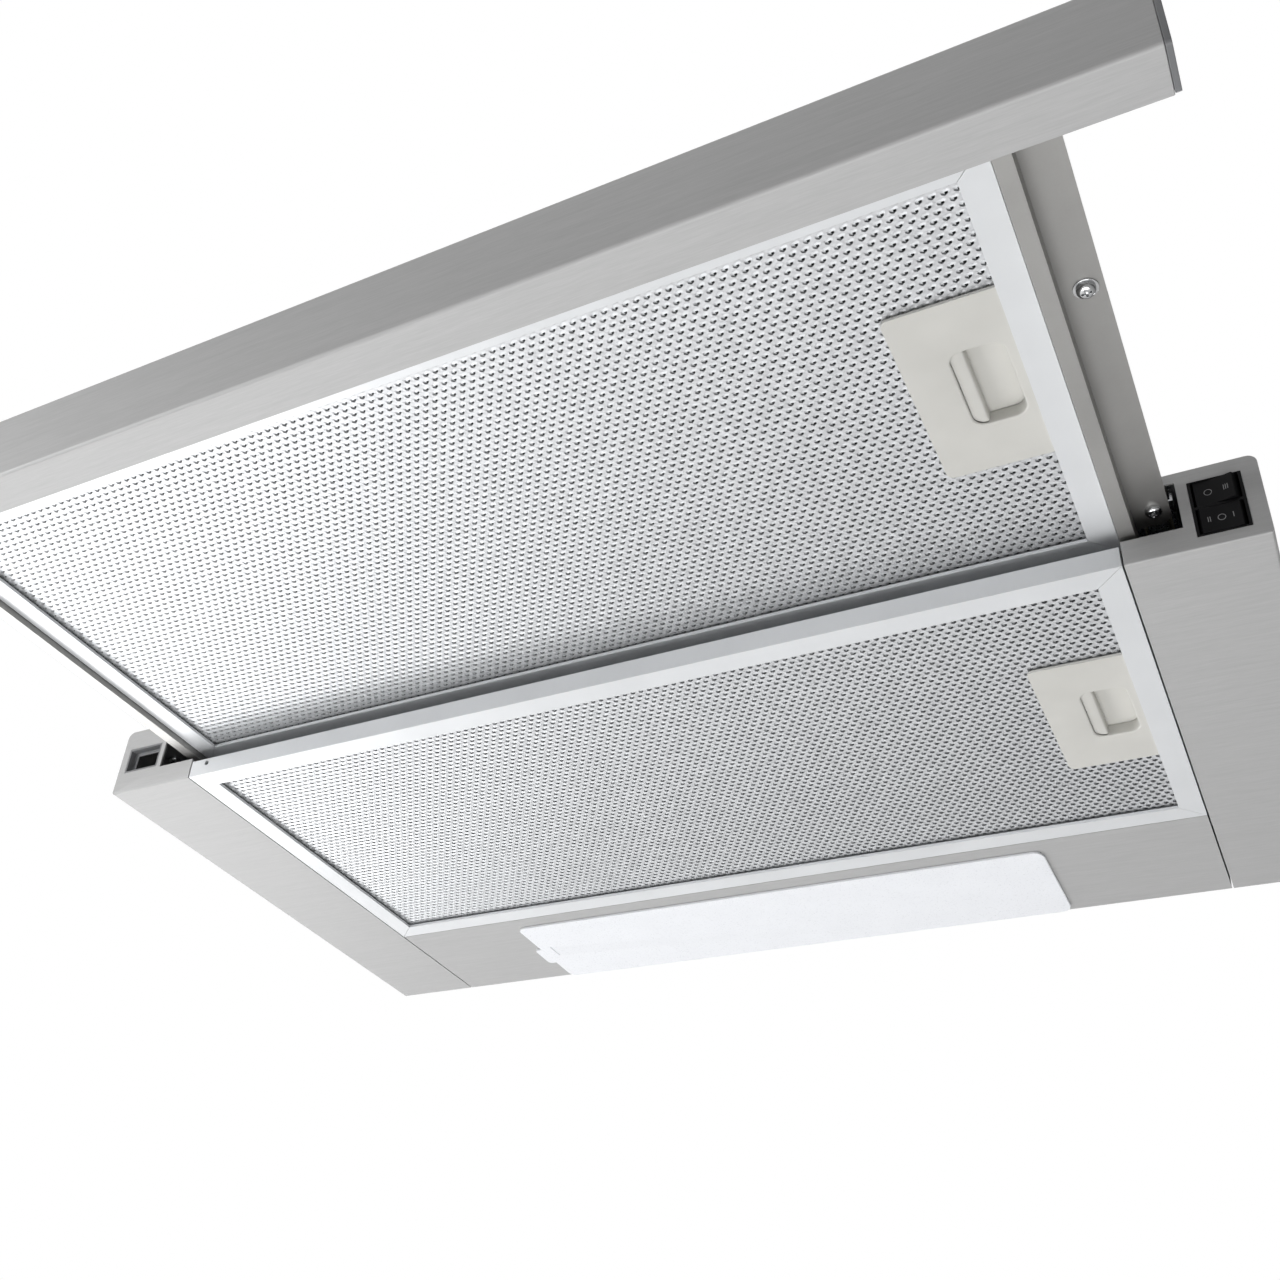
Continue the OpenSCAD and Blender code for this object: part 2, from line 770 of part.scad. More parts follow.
module front_latch_slider() {
    in_drawer() color("beige") latch_slider(front_latch_shift);
}

module front_latch_spring() {
    in_drawer() color("gray") latch_spring(front_latch_shift);
}

// ---- Drawer ----

// An arm for the right side: an open channel beside the cassette, with the plate that
// rides on the runner.
module drawer_arm() {
    y0 = fascia_y + sheet_t + arm_t + 0.3;
    y1 = bar_y + bar_d;
    plate_y0 = fascia_y + 6;
    difference() {
        union() {
            block([arm_x, y0, arm_z], [arm_out, y1, arm_z + arm_t]);
            block([arm_x, y0, arm_z], [arm_x + 1, y1, arm_top - 2]);
            block([arm_out - arm_t, y0, arm_z], [arm_out, y1, arm_top]);
            block([arm_out - eps, plate_y0, plate_low],
                [arm_out + plate_w - plate_r, plate_end_y, plate_top]);
            block([arm_out - eps, plate_y0, plate_low],
                [arm_out + plate_w, plate_end_y - plate_r, plate_top]);
            translate([arm_out + plate_w - plate_r, plate_end_y - plate_r, plate_low])
                cylinder(h = plate_t, r = plate_r);
        }
        for (y = [screw_front_y, screw_rear_y])
            translate([runner_x, y, plate_low - 1])
                cylinder(h = plate_t + 2, r = screw_r + hole_gap);
    }
}

module right_drawer_arm() {
    y = front_cas_y0 + cassette_d / 2 + front_latch_shift;
    placed() color("darkgray") difference() {
        drawer_arm();
        block([arm_x - 1, y - tongue_w / 2 - tongue_gap, front_cassette_z + slider_top - slider_t - 2],
            [arm_x + 1.5, y + tongue_w / 2 + tongue_gap, front_cassette_z + slider_top + 2]);
    }
}

module left_drawer_arm() {
    y = front_cas_y0 + cassette_d / 2;
    placed() color("darkgray") difference() {
        mirror([1, 0, 0]) drawer_arm();
        for (s = [-1, 1])
            block([-arm_x - 1.5, y + s * lug_shift - lug_w / 2 - 1, front_cassette_z + lug_low - 0.8],
                [-arm_x + 1, y + s * lug_shift + lug_w / 2 + 1, front_cassette_z + lug_high + 0.8]);
    }
}

module rear_crossbar() {
    x = arm_x - slip;
    placed() color("darkgray") {
        block([-x, bar_y, bar_z], [x, bar_y + arm_t, arm_top - 2]);
        block([-x, bar_y, bar_z], [x, bar_y + bar_d, bar_z + arm_t]);
    }
}

// Bar behind the drawer front, with a fold that lies on the front cassette's edge.
module front_crossbar() {
    x = half_w - 3;
    fold_x = arm_x - slip;
    y0 = fascia_y + sheet_t;
    fold_y = front_cas_y0 - arm_t;
    high = fascia_h - sheet_t;
    placed() color("darkgray") {
        block([-x, y0, front_cassette_z + slip], [x, y0 + arm_t, high]);
        block([-x, y0, high - arm_t], [x, lip_y - fold_gap, high]);
        block([-fold_x, fold_y - arm_t, arm_top - 3.2], [fold_x, fold_y, high]);
        block([-fold_x, lip_y - 1, high - arm_t], [fold_x, fold_y, high]);
    }
}

// Drawer front: one folded sheet with a face, a lower lip and an upper lip.
module fascia_panel() {
    x = half_w - cap_t;
    r = fascia_r;
    placed() color("silver") translate([-x, 0, 0]) rotate([90, 0, 90]) linear_extrude(2 * x)
        difference() {
            union() {
                translate([fascia_y + r, 0]) square([fascia_d - r, fascia_h]);
                translate([fascia_y, r]) square([fascia_d, fascia_h - 2 * r]);
                translate([fascia_y + r, r]) circle(r = r);
                translate([fascia_y + r, fascia_h - r]) circle(r = r);
            }
            translate([fascia_y + sheet_t, sheet_t])
                square([fascia_d, fascia_h - 2 * sheet_t]);
        }
}

// End cap for the right side of the drawer front.
module fascia_cap() {
    y0 = fascia_y + sheet_t + 1.6;
    y1 = lip_y - 1;
    z0 = sheet_t + fold_gap;
    z1 = front_cassette_z - 0.5;
    wall = 1.2;
    difference() {
        union() {
            translate([half_w - cap_t + slip, 0, 0]) rotate([90, 0, 90]) linear_extrude(cap_t - slip)
                translate([fascia_y, 0]) rounded_rect(fascia_d, fascia_h, fascia_r);
            block([half_w - 3 * cap_t, y0, z0], [half_w - cap_t + fold_gap, y1, z1]);
        }
        block([half_w - 4 * cap_t, y0 + wall, z0 + wall], [half_w - cap_t + slip, y1 - wall, z1 - wall]);
    }
}

module fascia_right_cap() {
    placed() color("gray") fascia_cap();
}

module fascia_left_cap() {
    placed() color("gray") mirror([1, 0, 0]) fascia_cap();
}

// ---- Runners ----

module runner_outer() {
    y0 = runner_front;
    x0 = runner_x - runner_w / 2;
    x1 = runner_x + runner_w / 2;
    block([x0, y0, top_z - runner_t], [x1, y0 + runner_l, top_z]);
    for (s = [0, 1]) {
        x = s == 0 ? x0 : x1 - runner_t;
        lip = s == 0 ? x0 : x1 - 2 * runner_t;
        block([x, y0, outer_low], [x + runner_t, y0 + runner_l, top_z]);
        block([lip, y0, outer_low], [lip + 2 * runner_t, y0 + runner_l, outer_low + 0.8]);
    }
}

module runner_inner() {
    y0 = plate_end_y - drawer_travel - 2;
    y1 = y0 + runner_l - 6;
    x0 = runner_x - runner_inner_w / 2;
    x1 = runner_x + runner_inner_w / 2;
    difference() {
        union() {
            block([x0, y0, plate_top], [x1, y1, plate_top + runner_t]);
            block([x0, y0, plate_top], [x0 + runner_t, y1, inner_top]);
            block([x1 - runner_t, y0, plate_top], [x1, y1, inner_top]);
        }
        for (y = [screw_front_y, screw_rear_y])
            translate([runner_x, y, plate_top - 1]) cylinder(h = 4, r = screw_r + hole_gap);
    }
}

// Places its children at each ball of one runner.
module at_balls() {
    pitch = cage_l / ball_count;
    for (s = [-1, 1], k = [0:ball_count - 1])
        translate([runner_x + s * (runner_inner_w + ball_room) / 2,
            cage_y + pitch * (k + 0.5), ball_z]) children();
}

module ball_cage() {
    strip_x = (runner_inner_w + ball_room) / 2;
    low = outer_low + 1.2;
    high = inner_top + 2.2;
    difference() {
        union() {
            block([runner_x - strip_x - cage_t / 2, cage_y, high - cage_t],
                [runner_x + strip_x + cage_t / 2, cage_y + cage_l, high]);
            for (s = [-1, 1])
                block([runner_x + s * strip_x - cage_t / 2, cage_y, low],
                    [runner_x + s * strip_x + cage_t / 2, cage_y + cage_l, high]);
        }
        at_balls() rod_x(-2, 2, 0, 0, ball_r + 0.2);
    }
}

module left_runner_outer() {
    placed() color("lightsteelblue") mirror([1, 0, 0]) runner_outer();
}

module right_runner_outer() {
    placed() color("lightsteelblue") runner_outer();
}

module left_runner_inner() {
    placed() color("lightsteelblue") mirror([1, 0, 0]) runner_inner();
}

module right_runner_inner() {
    placed() color("lightsteelblue") runner_inner();
}

module left_ball_cage() {
    placed() color("goldenrod") mirror([1, 0, 0]) ball_cage();
}

module right_ball_cage() {
    placed() color("goldenrod") ball_cage();
}

module runner_balls() {
    placed() color("white") both_sides() at_balls() sphere(r = ball_r);
}

module runner_screws() {
    placed() color("darkgray") both_sides() {
        translate([runner_x, screw_front_y, plate_low - washer_t]) cross_screw(5);
        translate([runner_x, screw_rear_y, plate_low]) cross_screw(5);
    }
}

module runner_washers() {
    placed() color("silver") both_sides()
        translate([runner_x, screw_front_y, plate_low - washer_t]) difference() {
            cylinder(h = washer_t, r = washer_r);
            translate([0, 0, -1]) cylinder(h = 3, r = screw_r + slip);
        }
}

// ---- Light ----

module lamp_tray() {
    x0 = light_x0 + 1.5;
    x1 = light_x1 - 1.5;
    y0 = light_y0 + 1.2;
    y1 = light_y1 - 1;
    placed() color("white") difference() {
        block([x0, y0, sheet_t], [x1, y1, lamp_top]);
        block([x0 + lamp_t, y0 + lamp_t, sheet_t - 1], [x1 - lamp_t, y1 - lamp_t, lamp_top - lamp_t]);
    }
}

module led_board() {
    y = (light_y0 + light_y1) / 2;
    pitch = board_w / led_count;
    low = lamp_top - lamp_t - board_t;
    placed() {
        color("white") translate([light_x - board_w / 2, y - board_d / 2, low])
            cube([board_w, board_d, board_t]);
        color("khaki") for (k = [0:led_count - 1])
            translate([light_x - board_w / 2 + pitch * (k + 0.5) - led[0] / 2, y - led[1] / 2, low - led[2]])
                cube(led);
    }
}

module led_driver() {
    placed() color("dimgray") {
        translate([driver_x, driver_y, tray_h]) cube(driver);
        for (x = [driver_x - driver_foot[0], driver_x + driver[0]])
            translate([x, driver_y + (driver[1] - driver_foot[1]) / 2, tray_h]) cube(driver_foot);
    }
}

module light_cover() {
    x0 = light_x0;
    x1 = light_x1;
    hinge_r = light_t / 2;
    placed() color("white") difference() {
        union() {
            translate([x0, light_y0, light_low])
                linear_extrude(light_t) rounded_rect(light_w - hinge_r, light_d, light_r);
            translate([x1 - hinge_r, light_y0 + light_r, light_low + hinge_r])
                rotate([-90, 0, 0]) cylinder(h = light_d - 2 * light_r, r = hinge_r);
            translate([x0 - tab_out, light_y0 + tab_y, light_low])
                linear_extrude(light_t) rounded_rect(tab_w, tab_w, light_r / 2);
            block([x0 + light_lap + 0.6, light_y0 + light_lap + 0.6, light_low + 0.2],
                [x1 - light_lap - 1.2, light_y1 - light_lap - 0.6, 3]);
        }
        block([x0 + light_lap + 2.2, light_y0 + light_lap + 2.2, light_low + light_t],
            [x1 - light_lap - 2.8, light_y1 - light_lap - 2.2, 5]);
    }
}

// ---- Motor cover and outlet ----

// Places its children at the screws of the duct spigot, about its centre.
module at_collar_screws() {
    for (a = [45:90:315])
        translate([collar_screw_r * cos(a), collar_screw_r * sin(a), 0]) children();
}

module motor_cover() {
    y1 = cover_y + cover_d;
    rim = cover_rim;
    placed() color("lightgray") difference() {
        block([-cover_x, cover_y, tray_h], [cover_x, y1, cover_top]);
        block([-cover_x + rim, cover_y + rim, tray_h - 1], [cover_x - rim, y1 - rim, tray_h + 5]);
        block([-cover_x + sheet_t, cover_y + sheet_t, tray_h + sheet_t],
            [cover_x - sheet_t, y1 - sheet_t, roof_z]);
        translate([0, outlet_y, roof_z - 1]) cylinder(h = 4, r = spigot_in - 1.5);
        translate([gland_x, gland_y, roof_z - 1]) cylinder(h = 4, r = gland_r + slip);
        translate([0, 0, tray_h - 1]) at_cover_screws() cylinder(h = 4, r = screw_r + hole_gap);
        translate([0, outlet_y, roof_z - 1]) at_collar_screws() cylinder(h = 4, r = screw_r + hole_gap);
    }
}

module cover_screws() {
    placed() color("darkgray") {
        translate([0, 0, tray_h + sheet_t]) at_cover_screws() mirror([0, 0, 1]) cross_screw(3);
        translate([0, outlet_y, cover_top + collar_t])
            at_collar_screws() mirror([0, 0, 1]) cross_screw(5);
    }
}

module outlet_collar() {
    seat = flap_seat_z - cover_top;
    placed() color("dimgray") translate([0, outlet_y, cover_top]) difference() {
        union() {
            cylinder(h = collar_t, r = spigot_r + collar_rim);
            cylinder(h = spigot_h + collar_t, r = spigot_r);
        }
        translate([0, 0, -1]) cylinder(h = seat + 1, r = spigot_in - ledge_ring);
        translate([0, 0, seat]) cylinder(h = spigot_h, r = spigot_in);
        rod_x(-spigot_r - 1, spigot_r + 1, 0, flap_z - cover_top, axle_r + hole_gap);
        translate([0, 0, -1]) at_collar_screws() cylinder(h = 4, r = screw_r + hole_gap);
    }
}

module damper_axle() {
    placed() color("silver") rod_x(-spigot_r + 0.2, spigot_r - 0.2, outlet_y, flap_z, axle_r);
}

// A half-round flap on the front side of the axle, with a knuckle at each place in xs.
module damper_flap(xs) {
    translate([0, outlet_y, flap_z]) difference() {
        union() {
            intersection() {
                translate([0, 0, -flap_t / 2]) cylinder(h = flap_t, r = flap_r);
                block([-flap_r, -flap_r, -flap_t], [flap_r, -flap_start, flap_t]);
            }
            for (x = xs) {
                rod_x(x, x + knuckle_l, 0, 0, knuckle_r);
                block([x, -flap_start - 1, -flap_t / 2], [x + knuckle_l, 0, flap_t / 2]);
            }
        }
        for (x = xs) rod_x(x - 1, x + knuckle_l + 1, 0, 0, axle_r + axle_gap);
    }
}

module front_damper_flap() {
    placed() color("dimgray") damper_flap(knuckle_xs);
}

module rear_damper_flap() {
    placed() color("dimgray") translate([0, 2 * outlet_y, 0]) mirror([0, 1, 0])
        damper_flap([for (x = knuckle_xs) x + knuckle_step]);
}

// ---- Fan ----

// Side view of the fan housing in Y and Z, grown by g: a round body with a straight
// outlet that rises to the roof of the motor cover.
module scroll_outline(g) {
    translate([fan_y, fan_z]) circle(r = scroll_r + g);
    translate([duct_y0 - g, fan_z]) square([duct_y1 - duct_y0 + 2 * g, roof_z - fan_z]);
}

// Extrudes an outline that is drawn in Y and Z from x0 to x1.
module along_x(x0, x1) {
    translate([x0, 0, 0]) rotate([90, 0, 90]) linear_extrude(x1 - x0) children();
}

module scroll_half(side) {
    x0 = side > 0 ? 0.05 : -scroll_x;
    x1 = side > 0 ? scroll_x : -0.05;
    difference() {
        along_x(x0, x1) scroll_outline(0);
        along_x(max(x0, -scroll_x + scroll_t) - (side > 0 ? 1 : 0),
            min(x1, scroll_x - scroll_t) + (side > 0 ? 0 : 1))
            intersection() {
                scroll_outline(-scroll_t);
                translate([0, 0]) square([tray_d, roof_z - scroll_t]);
            }
        translate([0, outlet_y, roof_z - 5]) cylinder(h = 10, r = duct_r);
        translate([0, outlet_y, roof_z - 5]) at_collar_screws() cylinder(h = 9, r = screw_r + hole_gap);
        rod_x(-scroll_x - 1, scroll_x + 1, fan_y, fan_z, inlet_ring_r);
    }
}

module left_scroll_half() {
    placed() color("darkslategray") scroll_half(-1);
}

module right_scroll_half() {
    placed() color("darkslategray") scroll_half(1);
}

// Squirrel-cage wheel with a middle disc, blades on both sides and two end rings.
module impeller() {
    x = wheel_w / 2;
    placed() color("steelblue") translate([0, fan_y, fan_z]) difference() {
        union() {
            rod_x(-1.5, 1.5, 0, 0, wheel_r);
            rod_x(-14, 14, 0, 0, hub_r);
            for (x0 = [-x, x - 2]) difference() {
                rod_x(x0, x0 + 2, 0, 0, wheel_r);
                rod_x(x0 - 1, x0 + 3, 0, 0, wheel_r - blade_d);
            }
            for (k = [0:blade_count - 1])
                rotate([360 * k / blade_count, 0, 0]) translate([0, 0, wheel_r - blade_d + 0.5])
                    rotate([20, 0, 0]) block([-x + 0.5, -0.6, 0], [x - 0.5, 0.6, blade_d - 1.5]);
        }
        rod_x(-20, 20, 0, 0, shaft_r);
    }
}

module fan_shaft() {
    placed() color("silver") rod_x(-13.9, motor_x0 + motor_l + 6, fan_y, fan_z, shaft_r);
}

// Turns its children about the fan's axis, by angle a.
module rotate_about_fan(a) {
    translate([0, fan_y, fan_z]) rotate([a, 0, 0]) children();
}

module motor_housing() {
    x1 = motor_x0 + motor_l;
    placed() color("gray") difference() {
        union() {
            rod_x(motor_x0, x1, fan_y, fan_z, motor_r);
            rod_x(x1 - 1, x1 + 4, fan_y, fan_z, 3 * shaft_r);
        }
        rod_x(motor_x0 - 1, x1 + 5, fan_y, fan_z, shaft_r + shaft_gap);
        for (a = [0:45:315])
            rotate_about_fan(a) rod_x(motor_x0 + 12, x1 - 12, 0, motor_r + 1, 3);
    }
}

module motor_bracket() {
    x0 = scroll_x + mount_l;
    arm_half = 7;
    placed() color("lightsteelblue") difference() {
        union() {
            rod_x(x0, x0 + bracket_t, fan_y, fan_z, 2 * hub_r);
            for (a = [60:120:300]) rotate_about_fan(a)
                block([x0, -arm_half, 0], [x0 + bracket_t, arm_half, mount_ring + 5]);
        }
        rod_x(x0 - 1, x0 + bracket_t + 1, fan_y, fan_z, shaft_r + 2);
    }
}

module motor_mounts() {
    placed() color("black") for (a = [60:120:300]) rotate_about_fan(a)
        rod_x(scroll_x, scroll_x + mount_l, 0, mount_ring - 1, mount_r);
}

// Capacitor can, lying along X on its foot.
module capacitor() {
    foot_z = tray_h + sheet_t;
    foot_x = capacitor_x + (capacitor_l - capacitor_foot[0]) / 2;
    placed() color("white") {
        rod_x(capacitor_x, capacitor_x + capacitor_l, capacitor_y, foot_z + capacitor_r + 1, capacitor_r);
        block([foot_x, capacitor_y - capacitor_foot[1] / 2, foot_z - 1],
            [foot_x + capacitor_foot[0], capacitor_y + capacitor_foot[1] / 2, foot_z + 1.5]);
    }
}

module terminal_box() {
    wall = terminal_t;
    placed() color("dimgray") difference() {
        translate([terminal_x, terminal_y, terminal_z]) cube(terminal);
        block([terminal_x - 1, terminal_y + wall, terminal_z + wall],
            [terminal_x + terminal[0] - wall, terminal_y + terminal[1] - wall,
                terminal_z + terminal[2] - wall]);
        translate([gland_x, gland_y, terminal_z + terminal[2] - 3]) cylinder(h = 6, r = gland_r + slip);
    }
}

module terminal_cover() {
    placed() color("dimgray") block([terminal_x - terminal_t, terminal_y, terminal_z],
        [terminal_x - 0.05, terminal_y + terminal[1], terminal_z + terminal[2]]);
}

// Cable gland through the roof of the motor cover, down into the terminal box.
module cable_gland() {
    placed() color("black") translate([gland_x, gland_y, roof_z]) difference() {
        union() {
            translate([0, 0, -gland_low]) cylinder(h = gland_l, r = gland_r);
            translate([0, 0, sheet_t]) cylinder(h = nut_h, r = nut_r, $fn = 6);
            translate([0, 0, nut_h]) cylinder(h = nut_h, r = gland_r);
        }
        translate([0, 0, -2 * gland_low]) cylinder(h = 4 * gland_low, r = inlet_r);
    }
}

left_side_panel();
right_side_panel();
rear_panel();
tray_frame();
motor_cover();
outlet_collar();
damper_axle();
front_damper_flap();
rear_damper_flap();
left_scroll_half();
right_scroll_half();
impeller();
fan_shaft();
motor_housing();
motor_bracket();
motor_mounts();
capacitor();
terminal_box();
terminal_cover();
cable_gland();
left_runner_outer();
right_runner_outer();
left_ball_cage();
right_ball_cage();
runner_balls();
left_runner_inner();
right_runner_inner();
left_drawer_arm();
right_drawer_arm();
front_crossbar();
rear_crossbar();
fascia_panel();
fascia_left_cap();
fascia_right_cap();
runner_screws();
runner_washers();
panel_screws();
cover_screws();
front_filter_frame();
front_filter_mesh();
front_latch_plate();
front_latch_slider();
front_latch_spring();
rear_filter_frame();
rear_filter_mesh();
rear_latch_plate();
rear_latch_slider();
rear_latch_spring();
switch_body();
light_rocker();
fan_rocker();
blanking_frame();
lamp_tray();
led_board();
led_driver();
light_cover();
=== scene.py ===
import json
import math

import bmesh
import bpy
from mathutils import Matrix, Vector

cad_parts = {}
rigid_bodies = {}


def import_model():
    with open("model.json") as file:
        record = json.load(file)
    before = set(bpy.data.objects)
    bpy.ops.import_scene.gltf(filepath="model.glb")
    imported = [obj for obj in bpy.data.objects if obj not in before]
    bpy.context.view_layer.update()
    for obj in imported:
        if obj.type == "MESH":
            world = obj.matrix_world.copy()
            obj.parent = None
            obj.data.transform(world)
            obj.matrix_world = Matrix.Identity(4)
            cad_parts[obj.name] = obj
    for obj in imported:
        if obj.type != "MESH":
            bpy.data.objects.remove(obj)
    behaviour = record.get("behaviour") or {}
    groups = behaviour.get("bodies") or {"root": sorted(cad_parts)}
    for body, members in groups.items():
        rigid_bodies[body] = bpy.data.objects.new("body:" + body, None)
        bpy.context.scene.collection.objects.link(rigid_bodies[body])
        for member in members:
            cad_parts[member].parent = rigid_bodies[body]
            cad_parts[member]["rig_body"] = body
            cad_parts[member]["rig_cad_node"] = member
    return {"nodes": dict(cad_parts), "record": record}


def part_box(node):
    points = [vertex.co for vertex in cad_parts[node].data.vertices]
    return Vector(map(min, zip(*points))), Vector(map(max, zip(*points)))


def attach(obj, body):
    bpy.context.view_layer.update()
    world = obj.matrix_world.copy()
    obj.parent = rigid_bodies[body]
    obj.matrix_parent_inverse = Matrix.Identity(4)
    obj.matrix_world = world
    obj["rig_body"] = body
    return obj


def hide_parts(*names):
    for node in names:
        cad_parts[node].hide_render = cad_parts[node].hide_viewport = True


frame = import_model()

# %% [markdown]
# # A pull-out cooker hood, seen from the front and below
#
# The real object is a slim hood for the underside of a kitchen cabinet. A steel tray
# carries two filter cassettes, and the front one sits in a drawer that is pulled out.
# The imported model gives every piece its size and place, so this lesson only adds what
# a close look shows: the woven sparkle of the filters, rolled frames, moulded latches,
# brushed steel and the marks on the switch. Everything is in metres and +Z is up.
#
# Places are easier to read in millimetres from the middle of the tray's lower front edge,
# as in the CAD source. Two helpers change between those and the metres of the frame.

MM = 0.001
FIX_Y = 150.0  # the frame's origin is this far behind the tray's front edge,
TRAY_H = 40.6  # and this far above the tray's underside
nodes = frame["nodes"]
slot_of = {s["node"]: s["material_slot"] for s in frame["record"]["subparts"]}
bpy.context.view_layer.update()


def at(x, y, z):
    """A place given in tray millimetres, in the metres of the frame."""
    return Vector((x, y - FIX_Y, z - TRAY_H)) * MM


def box_mm(node):
    """Lowest and highest corner of a CAD node in tray millimetres."""
    low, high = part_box(node)
    shift = Vector((0, FIX_Y, TRAY_H))
    return low / MM + shift, high / MM + shift


# %% [markdown]
# ## The camera
#
# The photo was taken from below, to the right of the hood, looking up and to the left.
# Its place was worked out from straight edges of the hood, so that a render can be laid
# beside it. A camera could also be aimed by hand until the picture looks right, but with
# two vanishing points known it is quicker and more exact to calculate it. The photo was
# cropped after it was taken, and a small shift of the lens stands for that.

# %% Camera
PHOTO_PX = 1280
FOCAL_PX = 1448.13
SENSOR_MM = 36
CAMERA_PLACE = (287.0, -490.7, -380.0)
CAMERA_TURN = (124.974, -4.968, 28.311)
camera_data = bpy.data.cameras.new("photo_camera")
camera_data.sensor_width = SENSOR_MM
camera_data.lens = FOCAL_PX / PHOTO_PX * SENSOR_MM
camera_data.shift_x = 0.0656
camera_data.shift_y = 0.0143
camera_data.clip_start = 0.01
camera = bpy.data.objects.new("photo_camera", camera_data)
bpy.context.scene.collection.objects.link(camera)
camera.location = at(*CAMERA_PLACE)
camera.rotation_euler = [math.radians(a) for a in CAMERA_TURN]
bpy.context.scene.camera = camera
print("camera lens", round(camera_data.lens, 2), "mm")

# %% [markdown]
# ## Picking and shaping by hand, in code
#
# An operator acts on everything that is selected, so each step first deselects
# everything and then picks its faces, edges or points by their place or normal. These
# helpers do what a hand does with the mouse: choose a piece, open it and pick.


# %% Helpers for picking
def only(piece):
    """Makes one object the only selected and active one."""
    bpy.ops.object.select_all(action="DESELECT")
    piece.select_set(True)
    bpy.context.view_layer.objects.active = piece


def edit(piece, mode="FACE"):
    """Opens a piece in edit mode with nothing selected."""
    only(piece)
    bpy.ops.object.mode_set(mode="EDIT")
    bpy.ops.mesh.select_mode(type=mode)
    bpy.ops.mesh.select_all(action="DESELECT")
    return bmesh.from_edit_mesh(piece.data)


def pick(items, test):
    """Selects the faces, edges or points that pass a test and deselects the others."""
    for item in items:
        item.select_set(False)
    for item in items:
        if test(item):
            item.select_set(True)


def done():
    """Closes edit mode."""
    bpy.ops.object.mode_set(mode="OBJECT")


print("pieces to look at:", len(nodes))

# %% [markdown]
# ### Blocks and modifiers
#
# Most moulded and folded forms start as a block. Modifiers then round its edges or cut
# another block out of it, and each is applied at once, as the next step picks from the
# result. The bevel hardens its normals: flat faces stay flat to the light, and only the
# narrow rounded strips are shaded smoothly.


# %% Helpers for blocks and modifiers
def new_block(name, low, high):
    """A block between two corners in tray millimetres, with its place in its mesh."""
    low, high = at(*low), at(*high)
    bpy.ops.object.select_all(action="DESELECT")
    bpy.ops.mesh.primitive_cube_add(size=1, location=(low + high) / 2)
    piece = bpy.context.active_object
    piece.name = name
    piece.scale = high - low
    bpy.ops.object.transform_apply(location=True, rotation=True, scale=True)
    return piece


def modify(piece, kind, **settings):
    """Adds a modifier, sets it and applies it."""
    only(piece)
    bpy.ops.object.modifier_add(type=kind)
    modifier = piece.modifiers[-1]
    for key, value in settings.items():
        setattr(modifier, key, value)
    bpy.ops.object.modifier_apply(modifier=modifier.name)


def soften(piece, radius_mm, segments=2, angle=35):
    """Rounds every edge sharper than an angle; flat faces keep their flat shading."""
    only(piece)
    bpy.ops.mesh.customdata_custom_splitnormals_clear()
    bpy.ops.object.shade_smooth()
    modify(piece, "BEVEL", width=radius_mm * MM, segments=segments, limit_method="ANGLE",
           angle_limit=math.radians(angle), use_clamp_overlap=True, harden_normals=True)


def cut(piece, tool, how="DIFFERENCE"):
    """Takes the tool's shape out of the piece, or adds it, and deletes the tool."""
    modify(piece, "BOOLEAN", operation=how, solver="EXACT", object=tool)
    bpy.data.objects.remove(tool)


def join(pieces, name):
    """Joins several objects into the first one."""
    bpy.ops.object.select_all(action="DESELECT")
    for piece in pieces:
        piece.select_set(True)
    bpy.context.view_layer.objects.active = pieces[0]
    bpy.ops.object.join()
    pieces[0].name = name
    return pieces[0]


print("the motor cover starts at", [round(v, 1) for v in box_mm("motor_cover")[0]], "mm")

# %% [markdown]
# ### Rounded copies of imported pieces
#
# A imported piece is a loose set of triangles. Its copy is merged and its flat faces are
# joined first, so that a bevel finds real edges. Where the sheet is folded with a wider
# radius, at the low front edge of the tray, that edge is rounded more before the rest.

# %% Helpers for copies
MERGE_MM = 0.02
FOLD_STEPS = 4


def copy_of(piece, name):
    """A copy with its own mesh, at the origin."""
    only(piece)
    bpy.ops.object.duplicate()
    twin = bpy.context.active_object
    twin.name = name
    twin.location = (0, 0, 0)
    return twin


def dressed(node, radius_mm, fold_mm=0):
    """A merged copy of a CAD node with rounded edges; fold_mm rounds its low front edge more."""
    piece = copy_of(nodes[node], node + "_dressed")
    piece.parent = None
    del piece["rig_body"], piece["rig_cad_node"]
    edit(piece, "VERT")
    bpy.ops.mesh.select_all(action="SELECT")
    bpy.ops.mesh.remove_doubles(threshold=MERGE_MM * MM)
    bpy.ops.mesh.dissolve_limited(angle_limit=math.radians(1))
    done()
    if fold_mm:
        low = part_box(node)[0]
        reach = 0.1 * MM
        mesh = edit(piece, "EDGE")
        pick(mesh.edges, lambda e: all(v.co.y < low.y + reach and v.co.z < low.z + reach
                                       for v in e.verts))
        bpy.ops.mesh.bevel(offset=fold_mm * MM, segments=FOLD_STEPS, affect="EDGES", profile=0.5)
        done()
    soften(piece, radius_mm)
    return piece


print("points closer than", MERGE_MM, "mm are merged")

# %% [markdown]
# ## Colours and shader nodes
#
# A finish is a colour plus the small marks of how its surface was made: brushing lines,
# zinc crystals, moulding grain. Colours are written as the sRGB codes that a picture
# shows, and one function turns them into the linear values that a shader takes. Another
# adds any node with its settings and its links. Most values of a noise lie between 0.3
# and 0.7, so that span is stretched to reach both colours.

# %% Helpers for finishes
NOISE_SPAN = {"From Min": 0.3, "From Max": 0.7}


def linear(code):
    """Turns an sRGB hex colour into a linear one."""
    parts = [int(code[i:i + 2], 16) / 255 for i in (1, 3, 5)]
    return [c / 12.92 if c < 0.04045 else ((c + 0.055) / 1.055) ** 2.4 for c in parts] + [1]


